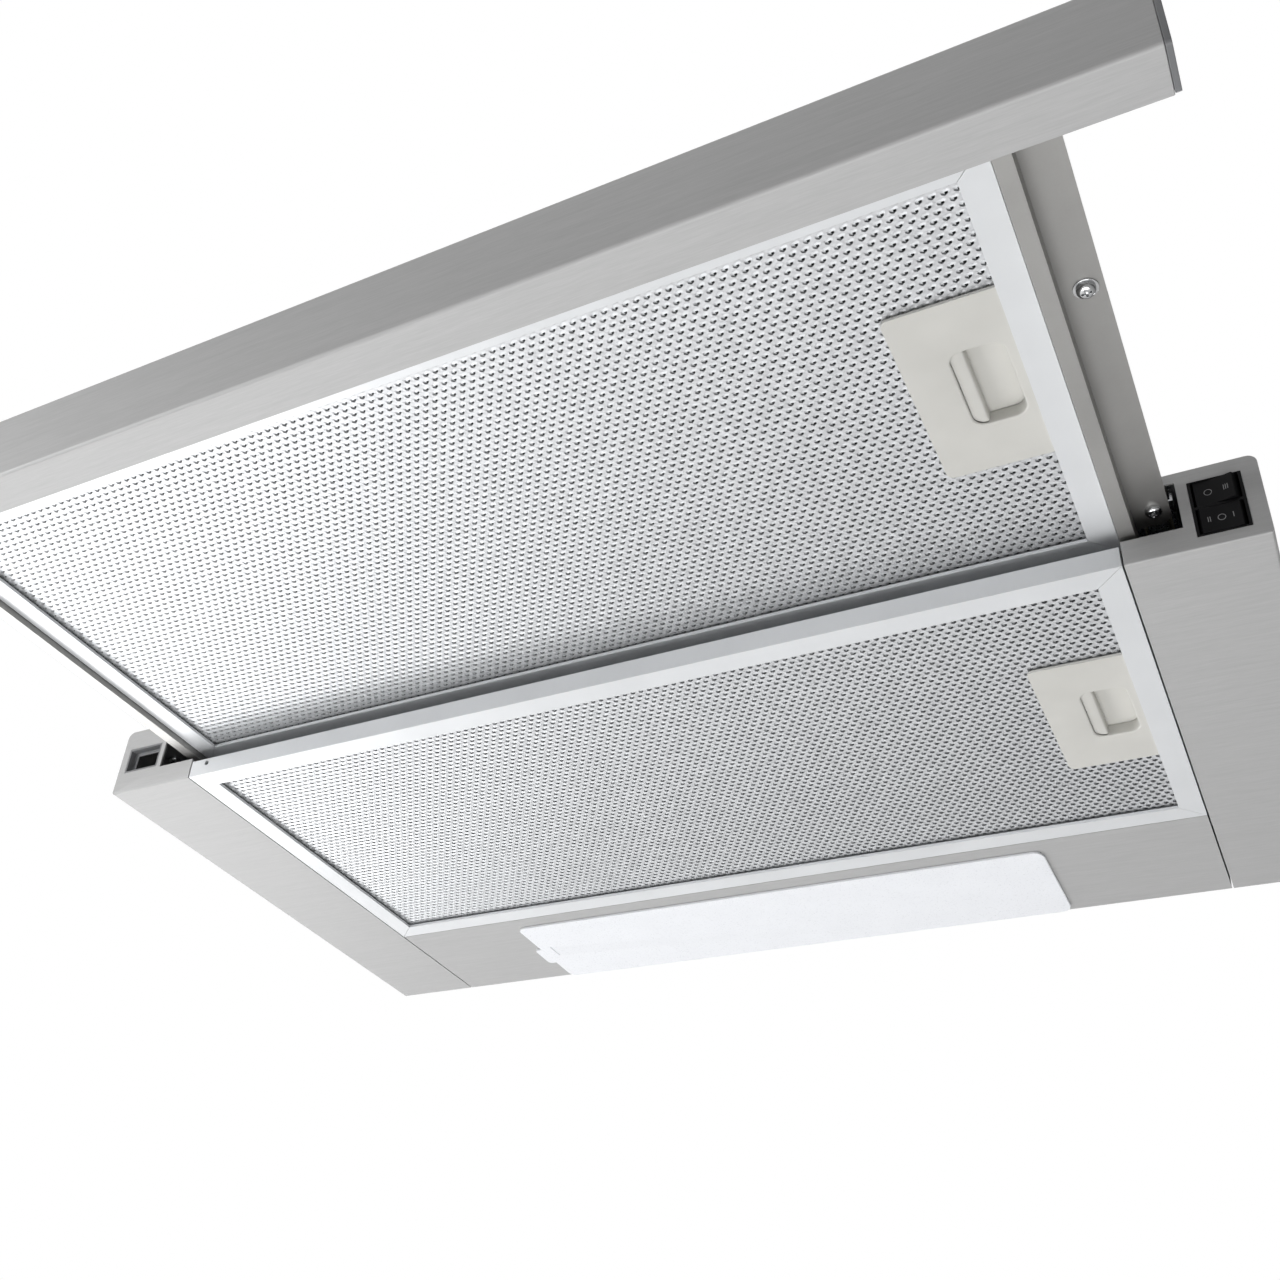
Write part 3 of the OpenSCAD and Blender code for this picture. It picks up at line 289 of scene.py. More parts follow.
def add_node(tree, kind, settings=None, links=None):
    """Adds a node; settings set its fields or inputs, links join sockets to its inputs."""
    node = tree.nodes.new(kind)
    for key, value in (settings or {}).items():
        if isinstance(key, int) or key in node.inputs:
            node.inputs[key].default_value = value
        else:
            setattr(node, key, value)
    for key, socket in (links or {}).items():
        tree.links.new(socket, node.inputs[key])
    return node


def start_finish(name, values):
    """A new material: its node tree, its shader with plain values, and Object places."""
    material = bpy.data.materials.new(name)
    material.use_nodes = True
    tree = material.node_tree
    shader = tree.nodes["Principled BSDF"]
    for key, value in values.items():
        shader.inputs[key].default_value = value
    place = add_node(tree, "ShaderNodeTexCoord").outputs["Object"]
    return material, tree, shader, place


def dress(tree, shader, colour_by, dark, light, rough_by, roughness, bump_by, depth_mm):
    """Joins three patterns to a shader: one tints it, one varies its gloss, one dents it."""
    spread = add_node(tree, "ShaderNodeMapRange", NOISE_SPAN, {"Value": colour_by})
    tint = add_node(tree, "ShaderNodeMix", {"data_type": "RGBA", 6: linear(dark), 7: linear(light)},
                    {0: spread.outputs["Result"]})
    gloss = add_node(tree, "ShaderNodeMapRange",
                     {**NOISE_SPAN, "To Min": roughness[0], "To Max": roughness[1]}, {"Value": rough_by})
    dents = add_node(tree, "ShaderNodeBump", {"Distance": depth_mm * MM, "Strength": 0.5},
                     {"Height": bump_by})
    tree.links.new(tint.outputs[2], shader.inputs["Base Color"])
    tree.links.new(gloss.outputs["Result"], shader.inputs["Roughness"])
    tree.links.new(dents.outputs["Normal"], shader.inputs["Normal"])


print("a mid grey of #808080 is", round(linear("#808080")[0], 3), "in linear light")

# %% [markdown]
# ### Brushed stainless steel
#
# The visible panels are ferritic stainless sheet that was drawn past an abrasive belt.
# The belt leaves fine parallel scratches along the sheet's length, here along X. Real
# scratches are hundredths of a millimetre wide, too fine for a picture of a whole hood,
# so they are drawn 0.4 mm wide and 9 mm long, with some broader, fainter streaks.

# %% Brushed stainless steel
SCRATCH_MM = (9, 0.4, 0.4)
STREAK_MM = (40, 2, 2)
panel_steel, tree, shader, place = start_finish(
    "brushed_stainless_steel", {"Metallic": 0.2, "Specular IOR Level": 0.3})
fine_place = add_node(tree, "ShaderNodeMapping", {"Scale": [1 / (size * MM) for size in SCRATCH_MM]},
                      {"Vector": place})
broad_place = add_node(tree, "ShaderNodeMapping", {"Scale": [1 / (size * MM) for size in STREAK_MM]},
                       {"Vector": place})
scratches = add_node(tree, "ShaderNodeTexNoise", {"Scale": 1, "Detail": 3},
                     {"Vector": fine_place.outputs["Vector"]}).outputs["Fac"]
streaks = add_node(tree, "ShaderNodeTexNoise", {"Scale": 1, "Detail": 2},
                   {"Vector": broad_place.outputs["Vector"]}).outputs["Fac"]
both = add_node(tree, "ShaderNodeMix", {"data_type": "FLOAT", 0: 0.3}, {2: scratches, 3: streaks})
dress(tree, shader, both.outputs[0], "#ACACAC", "#B8B8B8", scratches, (0.52, 0.62), scratches, 0.006)
print("made", panel_steel.name)

# %% [markdown]
# ### Zinc-coated sheet
#
# The hidden cover and the tray's top are hot-dip zinc-coated sheet. Its zinc froze in
# flat crystals some 10 mm across, each with its own grey. A cell pattern draws such
# crystals directly, where plain noise would look like clouds.

# %% Zinc-coated sheet
zinc, tree, shader, place = start_finish("zinc_coated_sheet", {"Metallic": 0.45})
crystals = add_node(tree, "ShaderNodeTexVoronoi", {"Scale": 1 / (11 * MM)}, {"Vector": place})
grey = add_node(tree, "ShaderNodeSeparateColor", {}, {"Color": crystals.outputs["Color"]}).outputs["Red"]
frost = add_node(tree, "ShaderNodeTexNoise", {"Scale": 1 / (1.2 * MM), "Detail": 3}, {"Vector": place})
mixed = add_node(tree, "ShaderNodeMix", {"data_type": "FLOAT", 0: 0.5}, {2: grey, 3: frost.outputs["Fac"]})
dress(tree, shader, mixed.outputs[0], "#A4A7A9", "#B7BABC", mixed.outputs[0], (0.34, 0.48),
      mixed.outputs[0], 0.02)
print("made", zinc.name)

# %% [markdown]
# ### Plated and coated steel
#
# Runners, screws, springs and the drawer's arms have thin coats on smooth steel. Such a
# coat is nearly even, with faint clouds and handling marks, so two soft noises are
# enough; the kinds differ in colour, gloss and in how metallic they look.


# %% Plated and coated steel
def coated_steel(name, dark, light, metallic, roughness, cloud_mm, mark_mm):
    """Smooth coated steel with clouds in its colour and small marks in its gloss."""
    material, tree, shader, place = start_finish(name, {"Metallic": metallic})
    clouds = add_node(tree, "ShaderNodeTexNoise", {"Scale": 1 / (cloud_mm * MM), "Detail": 4},
                      {"Vector": place}).outputs["Fac"]
    marks = add_node(tree, "ShaderNodeTexNoise", {"Scale": 1 / (mark_mm * MM), "Detail": 2},
                     {"Vector": place}).outputs["Fac"]
    dress(tree, shader, clouds, dark, light, marks, roughness, marks, 0.008)
    return material


runner_steel = coated_steel("bright_zinc_plating", "#B4B6B8", "#D2D4D6", 1, (0.24, 0.34), 9, 0.8)
screw_steel = coated_steel("nickel_plating", "#BDBEBF", "#E0E1E2", 1, (0.14, 0.22), 4, 0.5)
arm_steel = coated_steel("satin_grey_coating", "#9F9E9C", "#A8A7A5", 0.7, (0.36, 0.46), 40, 1.0)
spring_steel = coated_steel("oiled_spring_steel", "#7C7D80", "#9B9C9F", 1, (0.26, 0.36), 3, 0.5)
print("made", runner_steel.name, screw_steel.name, arm_steel.name, spring_steel.name)

# %% [markdown]
# ### Aluminium of the filters
#
# The cassette frames are rolled aluminium strip with a pale satin lacquer, which shows
# faint lines from the rolls. The mesh is bright, bare aluminium foil that was slit and
# stretched; its grains give each strand a slightly other grey, so that it sparkles. The
# layers behind it are the same foil with painted shade: the core and back sheets a little
# darker, the packed layers much darker, for the little light that reaches them.

# %% Aluminium
ROLL_LINE_MM = (14, 14, 0.8)
frame_aluminium, tree, shader, place = start_finish(
    "lacquered_aluminium", {"Metallic": 0.2, "Coat Weight": 0.15, "Coat Roughness": 0.3})
lines_place = add_node(tree, "ShaderNodeMapping", {"Scale": [1 / (size * MM) for size in ROLL_LINE_MM]},
                       {"Vector": place})
lines = add_node(tree, "ShaderNodeTexNoise", {"Scale": 1, "Detail": 3},
                 {"Vector": lines_place.outputs["Vector"]}).outputs["Fac"]
clouds = add_node(tree, "ShaderNodeTexNoise", {"Scale": 1 / (35 * MM)}, {"Vector": place}).outputs["Fac"]
dress(tree, shader, clouds, "#DADCDE", "#E0E2E4", lines, (0.33, 0.42), lines, 0.015)


def aluminium_foil(name, dark, light, metallic, roughness):
    """Bare foil with grains 2.6 mm wide and small creases."""
    material, tree, shader, place = start_finish(name, {"Metallic": metallic})
    grains = add_node(tree, "ShaderNodeTexNoise", {"Scale": 1 / (2.6 * MM), "Detail": 3},
                      {"Vector": place}).outputs["Fac"]
    creases = add_node(tree, "ShaderNodeTexNoise", {"Scale": 1 / (0.5 * MM)},
                       {"Vector": place}).outputs["Fac"]
    dress(tree, shader, grains, dark, light, grains, roughness, creases, 0.02)
    return material


face_foil = aluminium_foil("bright_aluminium_foil", "#CFD0D2", "#DBDCDE", 0.55, (0.4, 0.52))
# The core's foil: the face foil painted a little darker, as shade for its deeper place.
shade_painted_core_foil = aluminium_foil("inner_foil_painted_shade", "#C2C4C6", "#D0D2D4", 0.65, (0.4, 0.52))
# The packed layers' foil: the same aluminium, painted much darker as shade deep in the pack.
shade_painted_deep_foil = aluminium_foil("packed_foil_painted_shade", "#5C5E60", "#707274", 0.6, (0.4, 0.5))
print("made", frame_aluminium.name, face_foil.name, shade_painted_core_foil.name, shade_painted_deep_foil.name)

# %% [markdown]
# ### Moulded plastics and rubber
#
# A moulded part copies the fine spark-eroded grain of its steel mould, some tenths of a
# millimetre across, and its colour is never quite even. The same recipe therefore makes
# the latches, the switch, the end caps, the collar and the fan, with other colours.


# %% Moulded plastics
def moulded(name, dark, light, roughness, grain_mm=0.5, depth_mm=0.012, values=None):
    """A moulded plastic with a fine grain and clouds in its colour."""
    material, tree, shader, place = start_finish(name, values or {})
    clouds = add_node(tree, "ShaderNodeTexNoise", {"Scale": 1 / (22 * MM)},
                      {"Vector": place}).outputs["Fac"]
    grain = add_node(tree, "ShaderNodeTexNoise", {"Scale": 1 / (grain_mm * MM)},
                     {"Vector": place}).outputs["Fac"]
    dress(tree, shader, clouds, dark, light, grain, roughness, grain, depth_mm)
    return material


latch_plastic = moulded("warm_grey_abs", "#CAC9C4", "#CFCEC9", (0.42, 0.52))
grey_plastic = moulded("mid_grey_abs", "#6F7072", "#7B7C7E", (0.43, 0.54))
black_plastic = moulded("black_polyamide", "#08080A", "#0E0E10", (0.5, 0.6),
                        values={"Specular IOR Level": 0.12})
dark_plastic = moulded("dark_grey_polypropylene", "#2B2C2E", "#38393B", (0.45, 0.56))
wheel_plastic = moulded("fan_polypropylene", "#262B33", "#343A44", (0.37, 0.48))
cage_plastic = moulded("natural_polyamide", "#D3CEBC", "#E0DCCD", (0.35, 0.46))
capacitor_plastic = moulded("white_polypropylene", "#D8D8D4", "#E4E4E1", (0.3, 0.42))
rubber = moulded("black_rubber", "#0E0E0E", "#1A1A1A", (0.62, 0.78), 0.8, 0.03)
opal_plastic = moulded("opal_acrylic", "#EEF0F4", "#F1F3F7", (0.26, 0.34), 0.8, 0.002,
                       {"Coat Weight": 0.3, "Coat Roughness": 0.15})
lamp_enamel = moulded("white_enamel", "#DEDFDF", "#E9EAEA", (0.26, 0.36), 1.4, 0.02)
board_lacquer = moulded("white_board_lacquer", "#DADCD4", "#E7E9E2", (0.24, 0.34))
mark_ink = moulded("pale_switch_print", "#7F7F80", "#939394", (0.45, 0.55))
print("made", len(bpy.data.materials), "materials")

# %% [markdown]
# ## Finishes for the pieces that keep their CAD shape
#
# Most inner pieces already have the right shape, and only need the right finish. The
# record names a material slot for each piece, so one table from slot to finish does it.

# %% Finishes by slot
finishes = {
    "panel_steel": panel_steel, "zinc_steel": zinc, "runner_steel": runner_steel,
    "screw_steel": screw_steel, "arm_steel": arm_steel, "frame_aluminium": frame_aluminium,
    "mesh_aluminium": face_foil, "latch_plastic": latch_plastic, "grey_plastic": grey_plastic,
    "black_plastic": black_plastic, "dark_plastic": dark_plastic, "opal_plastic": opal_plastic,
    "lamp_white": lamp_enamel, "board_white": board_lacquer, "rubber_black": rubber,
    "spring_steel": spring_steel, "cage_plastic": cage_plastic, "wheel_plastic": wheel_plastic,
    "capacitor_white": capacitor_plastic}
for name, piece in nodes.items():
    piece.data.materials.clear()
    piece.data.materials.append(finishes[slot_of[name]])


def finish_piece(piece, like, material=None, replaced=()):
    """Gives a piece its finish and the body and slot of a CAD node that it belongs to."""
    piece.data.name = piece.name
    piece.data.materials.clear()
    piece.data.materials.append(material or finishes[slot_of[like]])
    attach(piece, nodes[like]["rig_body"])
    if replaced:
        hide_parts(*replaced)
    print(piece.name, len(piece.data.polygons), "faces")


print("finished", len(nodes), "nodes")

# %% [markdown]
# ## Folded steel sheet and moulded shells
#
# A press brake never leaves a sharp edge, and neither does a mould: each fold and each
# rim catches a thin line of light. These pieces are copies of their CAD shapes with
# every edge rounded a little, which a bevel modifier does in one step. The side panels'
# low front edge is a real fold, and its radius is large enough to see.

# %% Rounded copies
edge_radius = {
    "left_side_panel": 0.35, "right_side_panel": 0.35, "rear_panel": 0.3, "fascia_panel": 0.3,
    "fascia_left_cap": 0.3, "fascia_right_cap": 0.3, "left_drawer_arm": 0.3,
    "right_drawer_arm": 0.3, "light_cover": 0.4, "blanking_frame": 0.25, "switch_body": 0.3,
    "motor_cover": 0.4, "outlet_collar": 0.5, "light_rocker": 0.35, "fan_rocker": 0.35,
    "cable_gland": 0.4, "runner_washers": 0.1, "front_damper_flap": 0.3, "rear_damper_flap": 0.3}
FOLD_MM = 0.9
rounded = {}
for name, radius in edge_radius.items():
    rounded[name] = dressed(name, radius, FOLD_MM if name.endswith("side_panel") else 0)
    finish_piece(rounded[name], name, None, (name,))

# %% [markdown]
# ### Slot beside the light cover's tab
#
# The photo shows a short slot for a fingernail where the tab starts. It is a block with
# rounded edges that is cut 0.7 mm deep into the rounded cover. A cut leaves uneven
# normals on the large flat face, so a weighted normal modifier makes it flat again.

# %% Slot in the light cover
SLOT_X = (-156.5, -155.1)
SLOT_Y = (254.5, 267.5)
SLOT_DEPTH = 0.7
lens_low = box_mm("light_cover")[0]
slot = new_block("nail_slot", (SLOT_X[0], SLOT_Y[0], lens_low.z - 1),
                 (SLOT_X[1], SLOT_Y[1], lens_low.z + SLOT_DEPTH))
soften(slot, 0.5, 3)
cut(rounded["light_cover"], slot)
bpy.ops.mesh.customdata_custom_splitnormals_clear()
modify(rounded["light_cover"], "WEIGHTED_NORMAL", weight=90, keep_sharp=True)
print("light cover with its slot:", len(rounded["light_cover"].data.polygons), "faces")

# %% [markdown]
# ### Pressed beads of the motor cover
#
# A thin flat sheet would drum, so the cover's walls have long beads pressed into them
# that stiffen it. Each bead is a block with well rounded edges, sunk into the wall so that
# 1.2 mm of it stands out: two in the front and rear walls and one in each side wall.

# %% Beads
BEAD_OUT = 1.2
BEAD_H = 12
FRONT_BEAD = 170
FRONT_BEAD_X = 125
SIDE_BEAD = 190
SIDE_BEAD_Y = 150
cover_low, cover_high = box_mm("motor_cover")
bead_z = (cover_low.z + cover_high.z) / 2
bead_spots = [((s * FRONT_BEAD_X, y), (FRONT_BEAD, 2 * BEAD_OUT))
              for y in (cover_low.y, cover_high.y) for s in (-1, 1)]
bead_spots += [((x, SIDE_BEAD_Y), (2 * BEAD_OUT, SIDE_BEAD)) for x in (cover_low.x, cover_high.x)]
beads = []
for spot, size in bead_spots:
    middle, half = Vector((*spot, bead_z)), Vector((*size, BEAD_H)) / 2
    bead = new_block("bead", middle - half, middle + half)
    soften(bead, 1.1, 5)
    beads.append(bead)
finish_piece(join(beads, "motor_cover_beads"), "motor_cover")

# %% [markdown]
# ## Latch plates
#
# Each latch is a flat moulded plate with a box behind it, which houses the slider. The
# finger recess has round corners and a soft rim. The plate is a block whose left corners
# are rounded, a second block is joined on for the box, and the recess and the room for
# the slider are cut out, so that the slider can be seen to move in it. Heights are
# measured from the cassette's lower face, and x from the tray's middle.

# %% Latch plates
PLATE_Z = (0.6, 2)
PLATE_CORNER_R = 3
BOX_INSET = 2
BOX_Z = 1
RECESS_X = (207.7, 227.7)
RECESS_HALF = 19.5
RECESS_TOP = 6.5
RECESS_R = 5
RIM_R = 0.8
ROOM_HALF = 22.6
ROOM_Z = (6.4, 8.2)
LIP_ROOM_Z = 1.55
LIP_ROOM_X = 212.7


def standing(edge, length_mm):
    """True for an edge that is higher than that."""
    return abs(edge.verts[0].co.z - edge.verts[1].co.z) > length_mm * MM


def round_rim(plate, y, z):
    """Rounds the recess's rim, the edges around it in the plate's lower face."""
    middle, half = at((RECESS_X[0] + RECESS_X[1]) / 2, y, z), Vector((10.5, 20, 0.01)) * MM
    mesh = edit(plate, "EDGE")
    pick(mesh.edges, lambda e: all(abs(v.co[i] - middle[i]) < half[i] for v in e.verts for i in range(3)))
    bpy.ops.mesh.bevel(offset=RIM_R * MM, segments=4, affect="EDGES")
    done()


def latch_plate(node):
    """The plate and box of one latch, in the place of its CAD node."""
    low, high = box_mm(node)
    y, z = (low.y + high.y) / 2, low.z - PLATE_Z[0]
    plate = new_block(node + "_moulded", (low.x, low.y, z + PLATE_Z[0]), (high.x, high.y, z + PLATE_Z[1]))
    mesh = edit(plate, "EDGE")
    pick(mesh.edges, lambda e: standing(e, 1) and e.verts[0].co.x < at(low.x + 1, 0, 0).x)
    bpy.ops.mesh.bevel(offset=PLATE_CORNER_R * MM, segments=8, affect="EDGES")
    done()
    box = new_block("latch_box", (low.x + BOX_INSET, low.y + BOX_INSET, z + BOX_Z),
                    (high.x - 0.4, high.y - BOX_INSET, high.z))
    cut(plate, box, "UNION")
    recess = new_block("recess", (RECESS_X[0], y - RECESS_HALF, z - 1),
                       (RECESS_X[1], y + RECESS_HALF, z + RECESS_TOP))
    mesh = edit(recess, "EDGE")
    pick(mesh.edges, lambda e: standing(e, 5))
    bpy.ops.mesh.bevel(offset=RECESS_R * MM, segments=10, affect="EDGES")
    done()
    cut(plate, recess)
    cut(plate, new_block("slider_room", (low.x + 4, y - ROOM_HALF, z + ROOM_Z[0]),
                         (high.x + 2, y + ROOM_HALF, z + ROOM_Z[1])))
    cut(plate, new_block("lip_room", (low.x + 4, y - ROOM_HALF, z + LIP_ROOM_Z),
                         (LIP_ROOM_X, y + ROOM_HALF, z + ROOM_Z[1])))
    round_rim(plate, y, z + PLATE_Z[0])
    soften(plate, 0.12, 1)
    finish_piece(plate, node, None, (node,))


latch_plate("front_latch_plate")
latch_plate("rear_latch_plate")

# %% [markdown]
# ## Latch sliders
#
# A finger reaches into the latch's recess and draws a lip to the left. The lip, the flat
# body that closes the recess behind it and the tongue at the right are one moulding. It
# is built up from three blocks joined by a boolean, each shaped first: the lip has the
# recess's round corners, and the tongue is sloped below so that it snaps shut. Heights
# are again measured from the cassette's lower face.

# %% Latch sliders
BODY_Z = (6.6, 8)
BODY_HALF = 21.5
BODY_RIGHT = 235.3
TONGUE_HALF = 15
TONGUE_SLOPE = 0.8
LIP_Z = (1.75, 6.8)
LIP_HALF = 19.3
LIP_DEEP = 5.6
LIP_CORNER_R = 4.6
LIP_EDGE_R = 1.6


def latch_slider(node):
    """The slider of one latch, in the place of its CAD node."""
    low, high = box_mm(node)
    y, z = (low.y + high.y) / 2, low.z - LIP_Z[0]
    body = new_block(node + "_moulded", (low.x + 0.6, y - BODY_HALF, z + BODY_Z[0]),
                     (BODY_RIGHT, y + BODY_HALF, z + BODY_Z[1]))
    tongue = new_block("tongue", (BODY_RIGHT - 0.3, y - TONGUE_HALF, z + BODY_Z[0]),
                       (high.x, y + TONGUE_HALF, z + BODY_Z[1]))
    mesh = edit(tongue, "EDGE")
    tip = at(high.x - 1, 0, z + BODY_Z[0] + 0.4)
    pick(mesh.edges, lambda e: all(v.co.x > tip.x and v.co.z < tip.z for v in e.verts))
    bpy.ops.mesh.bevel(offset=TONGUE_SLOPE * MM, segments=1, affect="EDGES")
    done()
    lip = new_block("lip", (low.x, y - LIP_HALF, z + LIP_Z[0]),
                    (low.x + LIP_DEEP, y + LIP_HALF, z + LIP_Z[1]))
    mesh = edit(lip, "EDGE")
    pick(mesh.edges, lambda e: standing(e, 4) and e.verts[0].co.x < at(low.x + 0.1, 0, 0).x)
    bpy.ops.mesh.bevel(offset=LIP_CORNER_R * MM, segments=8, affect="EDGES")
    mesh = bmesh.from_edit_mesh(lip.data)
    near = at(low.x + LIP_DEEP - 0.1, 0, z + 2)
    pick(mesh.edges, lambda e: all(v.co.x > near.x and v.co.z < near.z for v in e.verts))
    bpy.ops.mesh.bevel(offset=LIP_EDGE_R * MM, segments=6, affect="EDGES")
    done()
    cut(body, tongue, "UNION")
    cut(body, lip, "UNION")
    soften(body, 0.35)
    finish_piece(body, node, None, (node,))


latch_slider("front_latch_slider")
latch_slider("rear_latch_slider")

# %% [markdown]
# ## Expanded aluminium mesh
#
# The filter is foil that was slit in a brick pattern and pulled apart, so each slit opens
# to a small eye and each strand between two eyes is twisted. Drawn as an image or a bump
# it would stay flat and give no dark eyes, so it is real mesh: one six-sided ring is
# inset, its inner edge is turned about X as the pull twists it, and a short wall gives
# the foil its depth. The ring tiles on the measured lattice of 4.25 by 3.3 mm.

# %% One eye of the mesh
PITCH_X = 4.25
PITCH_Y = 3.3
EYE_R = 2 / 3 * PITCH_Y
WAVE_MM = 0.3
THIRDS = (0, 120, 240)


def mesh_eye(name, x, y, z, strand_mm, twist, wall_mm):
    """A ring around one eye, facing down; wall_mm of 0 leaves out the wall."""
    middle = at(x, y, z)
    bpy.ops.object.select_all(action="DESELECT")
    bpy.ops.mesh.primitive_circle_add(vertices=6, radius=EYE_R * MM, fill_type="NGON", location=middle)
    eye = bpy.context.active_object
    eye.name = name
    eye.scale = (PITCH_X / 2 / (EYE_R * math.cos(math.radians(30))), 1, 1)
    bpy.ops.object.transform_apply(location=True, rotation=True, scale=True)
    mesh = edit(eye, "VERT")
    second = [Vector((math.sin(math.radians(a)), math.cos(math.radians(a)), 0)) for a in THIRDS]
    pick(mesh.verts, lambda v: max((v.co - middle).normalized().dot(way) for way in second) > 0.8)
    bpy.ops.transform.translate(value=(0, 0, WAVE_MM * MM))
    bpy.ops.mesh.select_all(action="SELECT")
    bpy.ops.mesh.select_mode(type="FACE")
    bpy.ops.mesh.flip_normals()
    bpy.ops.mesh.inset(thickness=strand_mm * MM)
    bpy.ops.transform.rotate(value=math.radians(twist), orient_axis="X", center_override=middle)
    if wall_mm:
        bpy.ops.mesh.extrude_region_move(TRANSFORM_OT_translate={"value": (0, 0, wall_mm * MM)})
    bpy.ops.mesh.delete(type="FACE")
    done()
    return eye


print("an eye is", PITCH_X, "by", PITCH_Y, "mm, and its ring has a radius of", round(EYE_R, 2), "mm")

# %% [markdown]
# ### Edges of a sheet
#
# A sheet that is turned in its plane has slanting edges, so it is made too large and cut
# straight, with a bisect for each side. Every sheet also leaves the latch's place free,
# but for a rim that the latch plate covers.


# %% Helpers for sheets
LATCH_RIM = 2


def trim_sheet(half, y0, y1):
    """Cuts the mesh that is open in edit mode along the four sides of a sheet."""
    for spot, out in (((-half, 0, 0), (-1, 0, 0)), ((half, 0, 0), (1, 0, 0)),
                      ((0, y0, 0), (0, -1, 0)), ((0, y1, 0), (0, 1, 0))):
        bpy.ops.mesh.select_all(action="SELECT")
        bpy.ops.mesh.bisect(plane_co=at(*spot), plane_no=out, clear_outer=True)


def leave_out_latch(sheet, latch):
    """Deletes the faces of a sheet, open in edit mode, that lie in the latch's place."""
    low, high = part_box(latch)
    rim = LATCH_RIM * MM
    bpy.ops.mesh.select_mode(type="FACE")
    mesh = bmesh.from_edit_mesh(sheet.data)
    pick(mesh.faces, lambda f: f.calc_center_median().x > low.x + rim
         and low.y + rim < f.calc_center_median().y < high.y - rim)
    bpy.ops.mesh.delete(type="FACE")


print("a sheet's edge reaches", LATCH_RIM, "mm under the latch plate")

# %% [markdown]
# ### From one eye to a sheet
#
# Three array modifiers copy the eye along a row, to the shifted next row, and then up
# the sheet, and doubles are merged so that the strands run through.

# %% Sheets of mesh
SHEET_INSET = (9, 7.5)
TURN_SPARE = 24
LATTICE_X = 1


def mesh_sheet(name, cassette, latch, depth_mm, strand_mm, twist,
               wall_mm=0, turn=0, lean_mm=0, shift=(0, 0)):
    """A sheet of mesh, depth_mm above a cassette's lower face.

    turn is in degrees in its own plane, lean_mm is how much lower its left edge is than
    its right one, and shift moves its lattice along x and y, in millimetres."""
    low, high = box_mm(cassette)
    half = high.x - SHEET_INSET[0]
    y0, y1 = low.y + SHEET_INSET[1], high.y - SHEET_INSET[1]
    spare = TURN_SPARE if turn else 0
    across = round((2 * half + spare) / PITCH_X)
    rows = round((y1 - y0 + 2 * spare) / PITCH_Y / 2)
    start = (-across * PITCH_X / 2 + LATTICE_X + shift[0],
             y0 - spare + PITCH_Y / 2 + shift[1], low.z + depth_mm)
    middle = at(0, (y0 + y1) / 2, start[2])
    sheet = mesh_eye(name, *start, strand_mm, twist, wall_mm)
    steps = ((across, (PITCH_X, 0, 0)), (2, (PITCH_X / 2, PITCH_Y, 0)), (rows, (0, 2 * PITCH_Y, 0)))
    for count, step in steps:
        modify(sheet, "ARRAY", count=count, use_relative_offset=False, use_constant_offset=True,
               constant_offset_displace=Vector(step) * MM)
    edit(sheet, "VERT")
    bpy.ops.mesh.select_all(action="SELECT")
    bpy.ops.mesh.remove_doubles(threshold=MERGE_MM * MM)
    if turn:
        bpy.ops.transform.rotate(value=math.radians(turn), orient_axis="Z", center_override=middle)
        trim_sheet(half, y0, y1)
    if lean_mm:
        bpy.ops.mesh.select_all(action="SELECT")
        bpy.ops.transform.rotate(value=math.atan(lean_mm / 2 / half), orient_axis="Y",
                                 center_override=middle)
    leave_out_latch(sheet, latch)
    done()
    only(sheet)
    bpy.ops.object.shade_smooth_by_angle(angle=math.radians(60))
    return sheet


print("rows are", PITCH_Y, "mm apart, and every second one is shifted by", PITCH_X / 2, "mm")

# %% [markdown]
# ### Packed layers
#
# Between its outer sheets a cassette holds more layers, pressed together until no light
# comes through. Their eyes can't be told apart, so one creased grid stands for them: each
# of its points is moved at random, with a fixed seed. Its foil is dark with painted shade,
# for the shade deep in the pack.

# %% Packed layers
PACK_INSET = 6
CREASE_MM = 0.5


def packed_layers(name, cassette, latch, depth_mm):
    """The layers in the middle of a cassette, as one creased sheet."""
    low, high = box_mm(cassette)
    bpy.ops.object.select_all(action="DESELECT")
    bpy.ops.mesh.primitive_grid_add(x_subdivisions=300, y_subdivisions=128, size=1,
                                    location=at(0, (low.y + high.y) / 2, low.z + depth_mm))
    sheet = bpy.context.active_object
    sheet.name = name
    sheet.scale = (2 * (high.x - PACK_INSET) * MM, (high.y - low.y - 2 * PACK_INSET) * MM, 1)
    bpy.ops.object.transform_apply(location=True, rotation=True, scale=True)
    edit(sheet)
    bpy.ops.mesh.select_all(action="SELECT")
    bpy.ops.transform.vertex_random(offset=CREASE_MM * MM, seed=7)
    bpy.ops.mesh.flip_normals()
    leave_out_latch(sheet, latch)
    done()
    return sheet


print("packed layers stay", PACK_INSET, "mm inside")

# %% [markdown]
# ### Mesh of both cassettes
#
# The face is the sheet that a hand would touch, and the core lies close above it. The
# core is twisted the other way and its lattice is shifted, so it covers one side of each
# eye and leaves the dark crescent that the photo shows. It leans a little: at the left it
# comes nearer to the face, and the crescents are paler there. The back sheet shows only
# from above. It is turned by 4 degrees, as the layers of a real pack never line up.

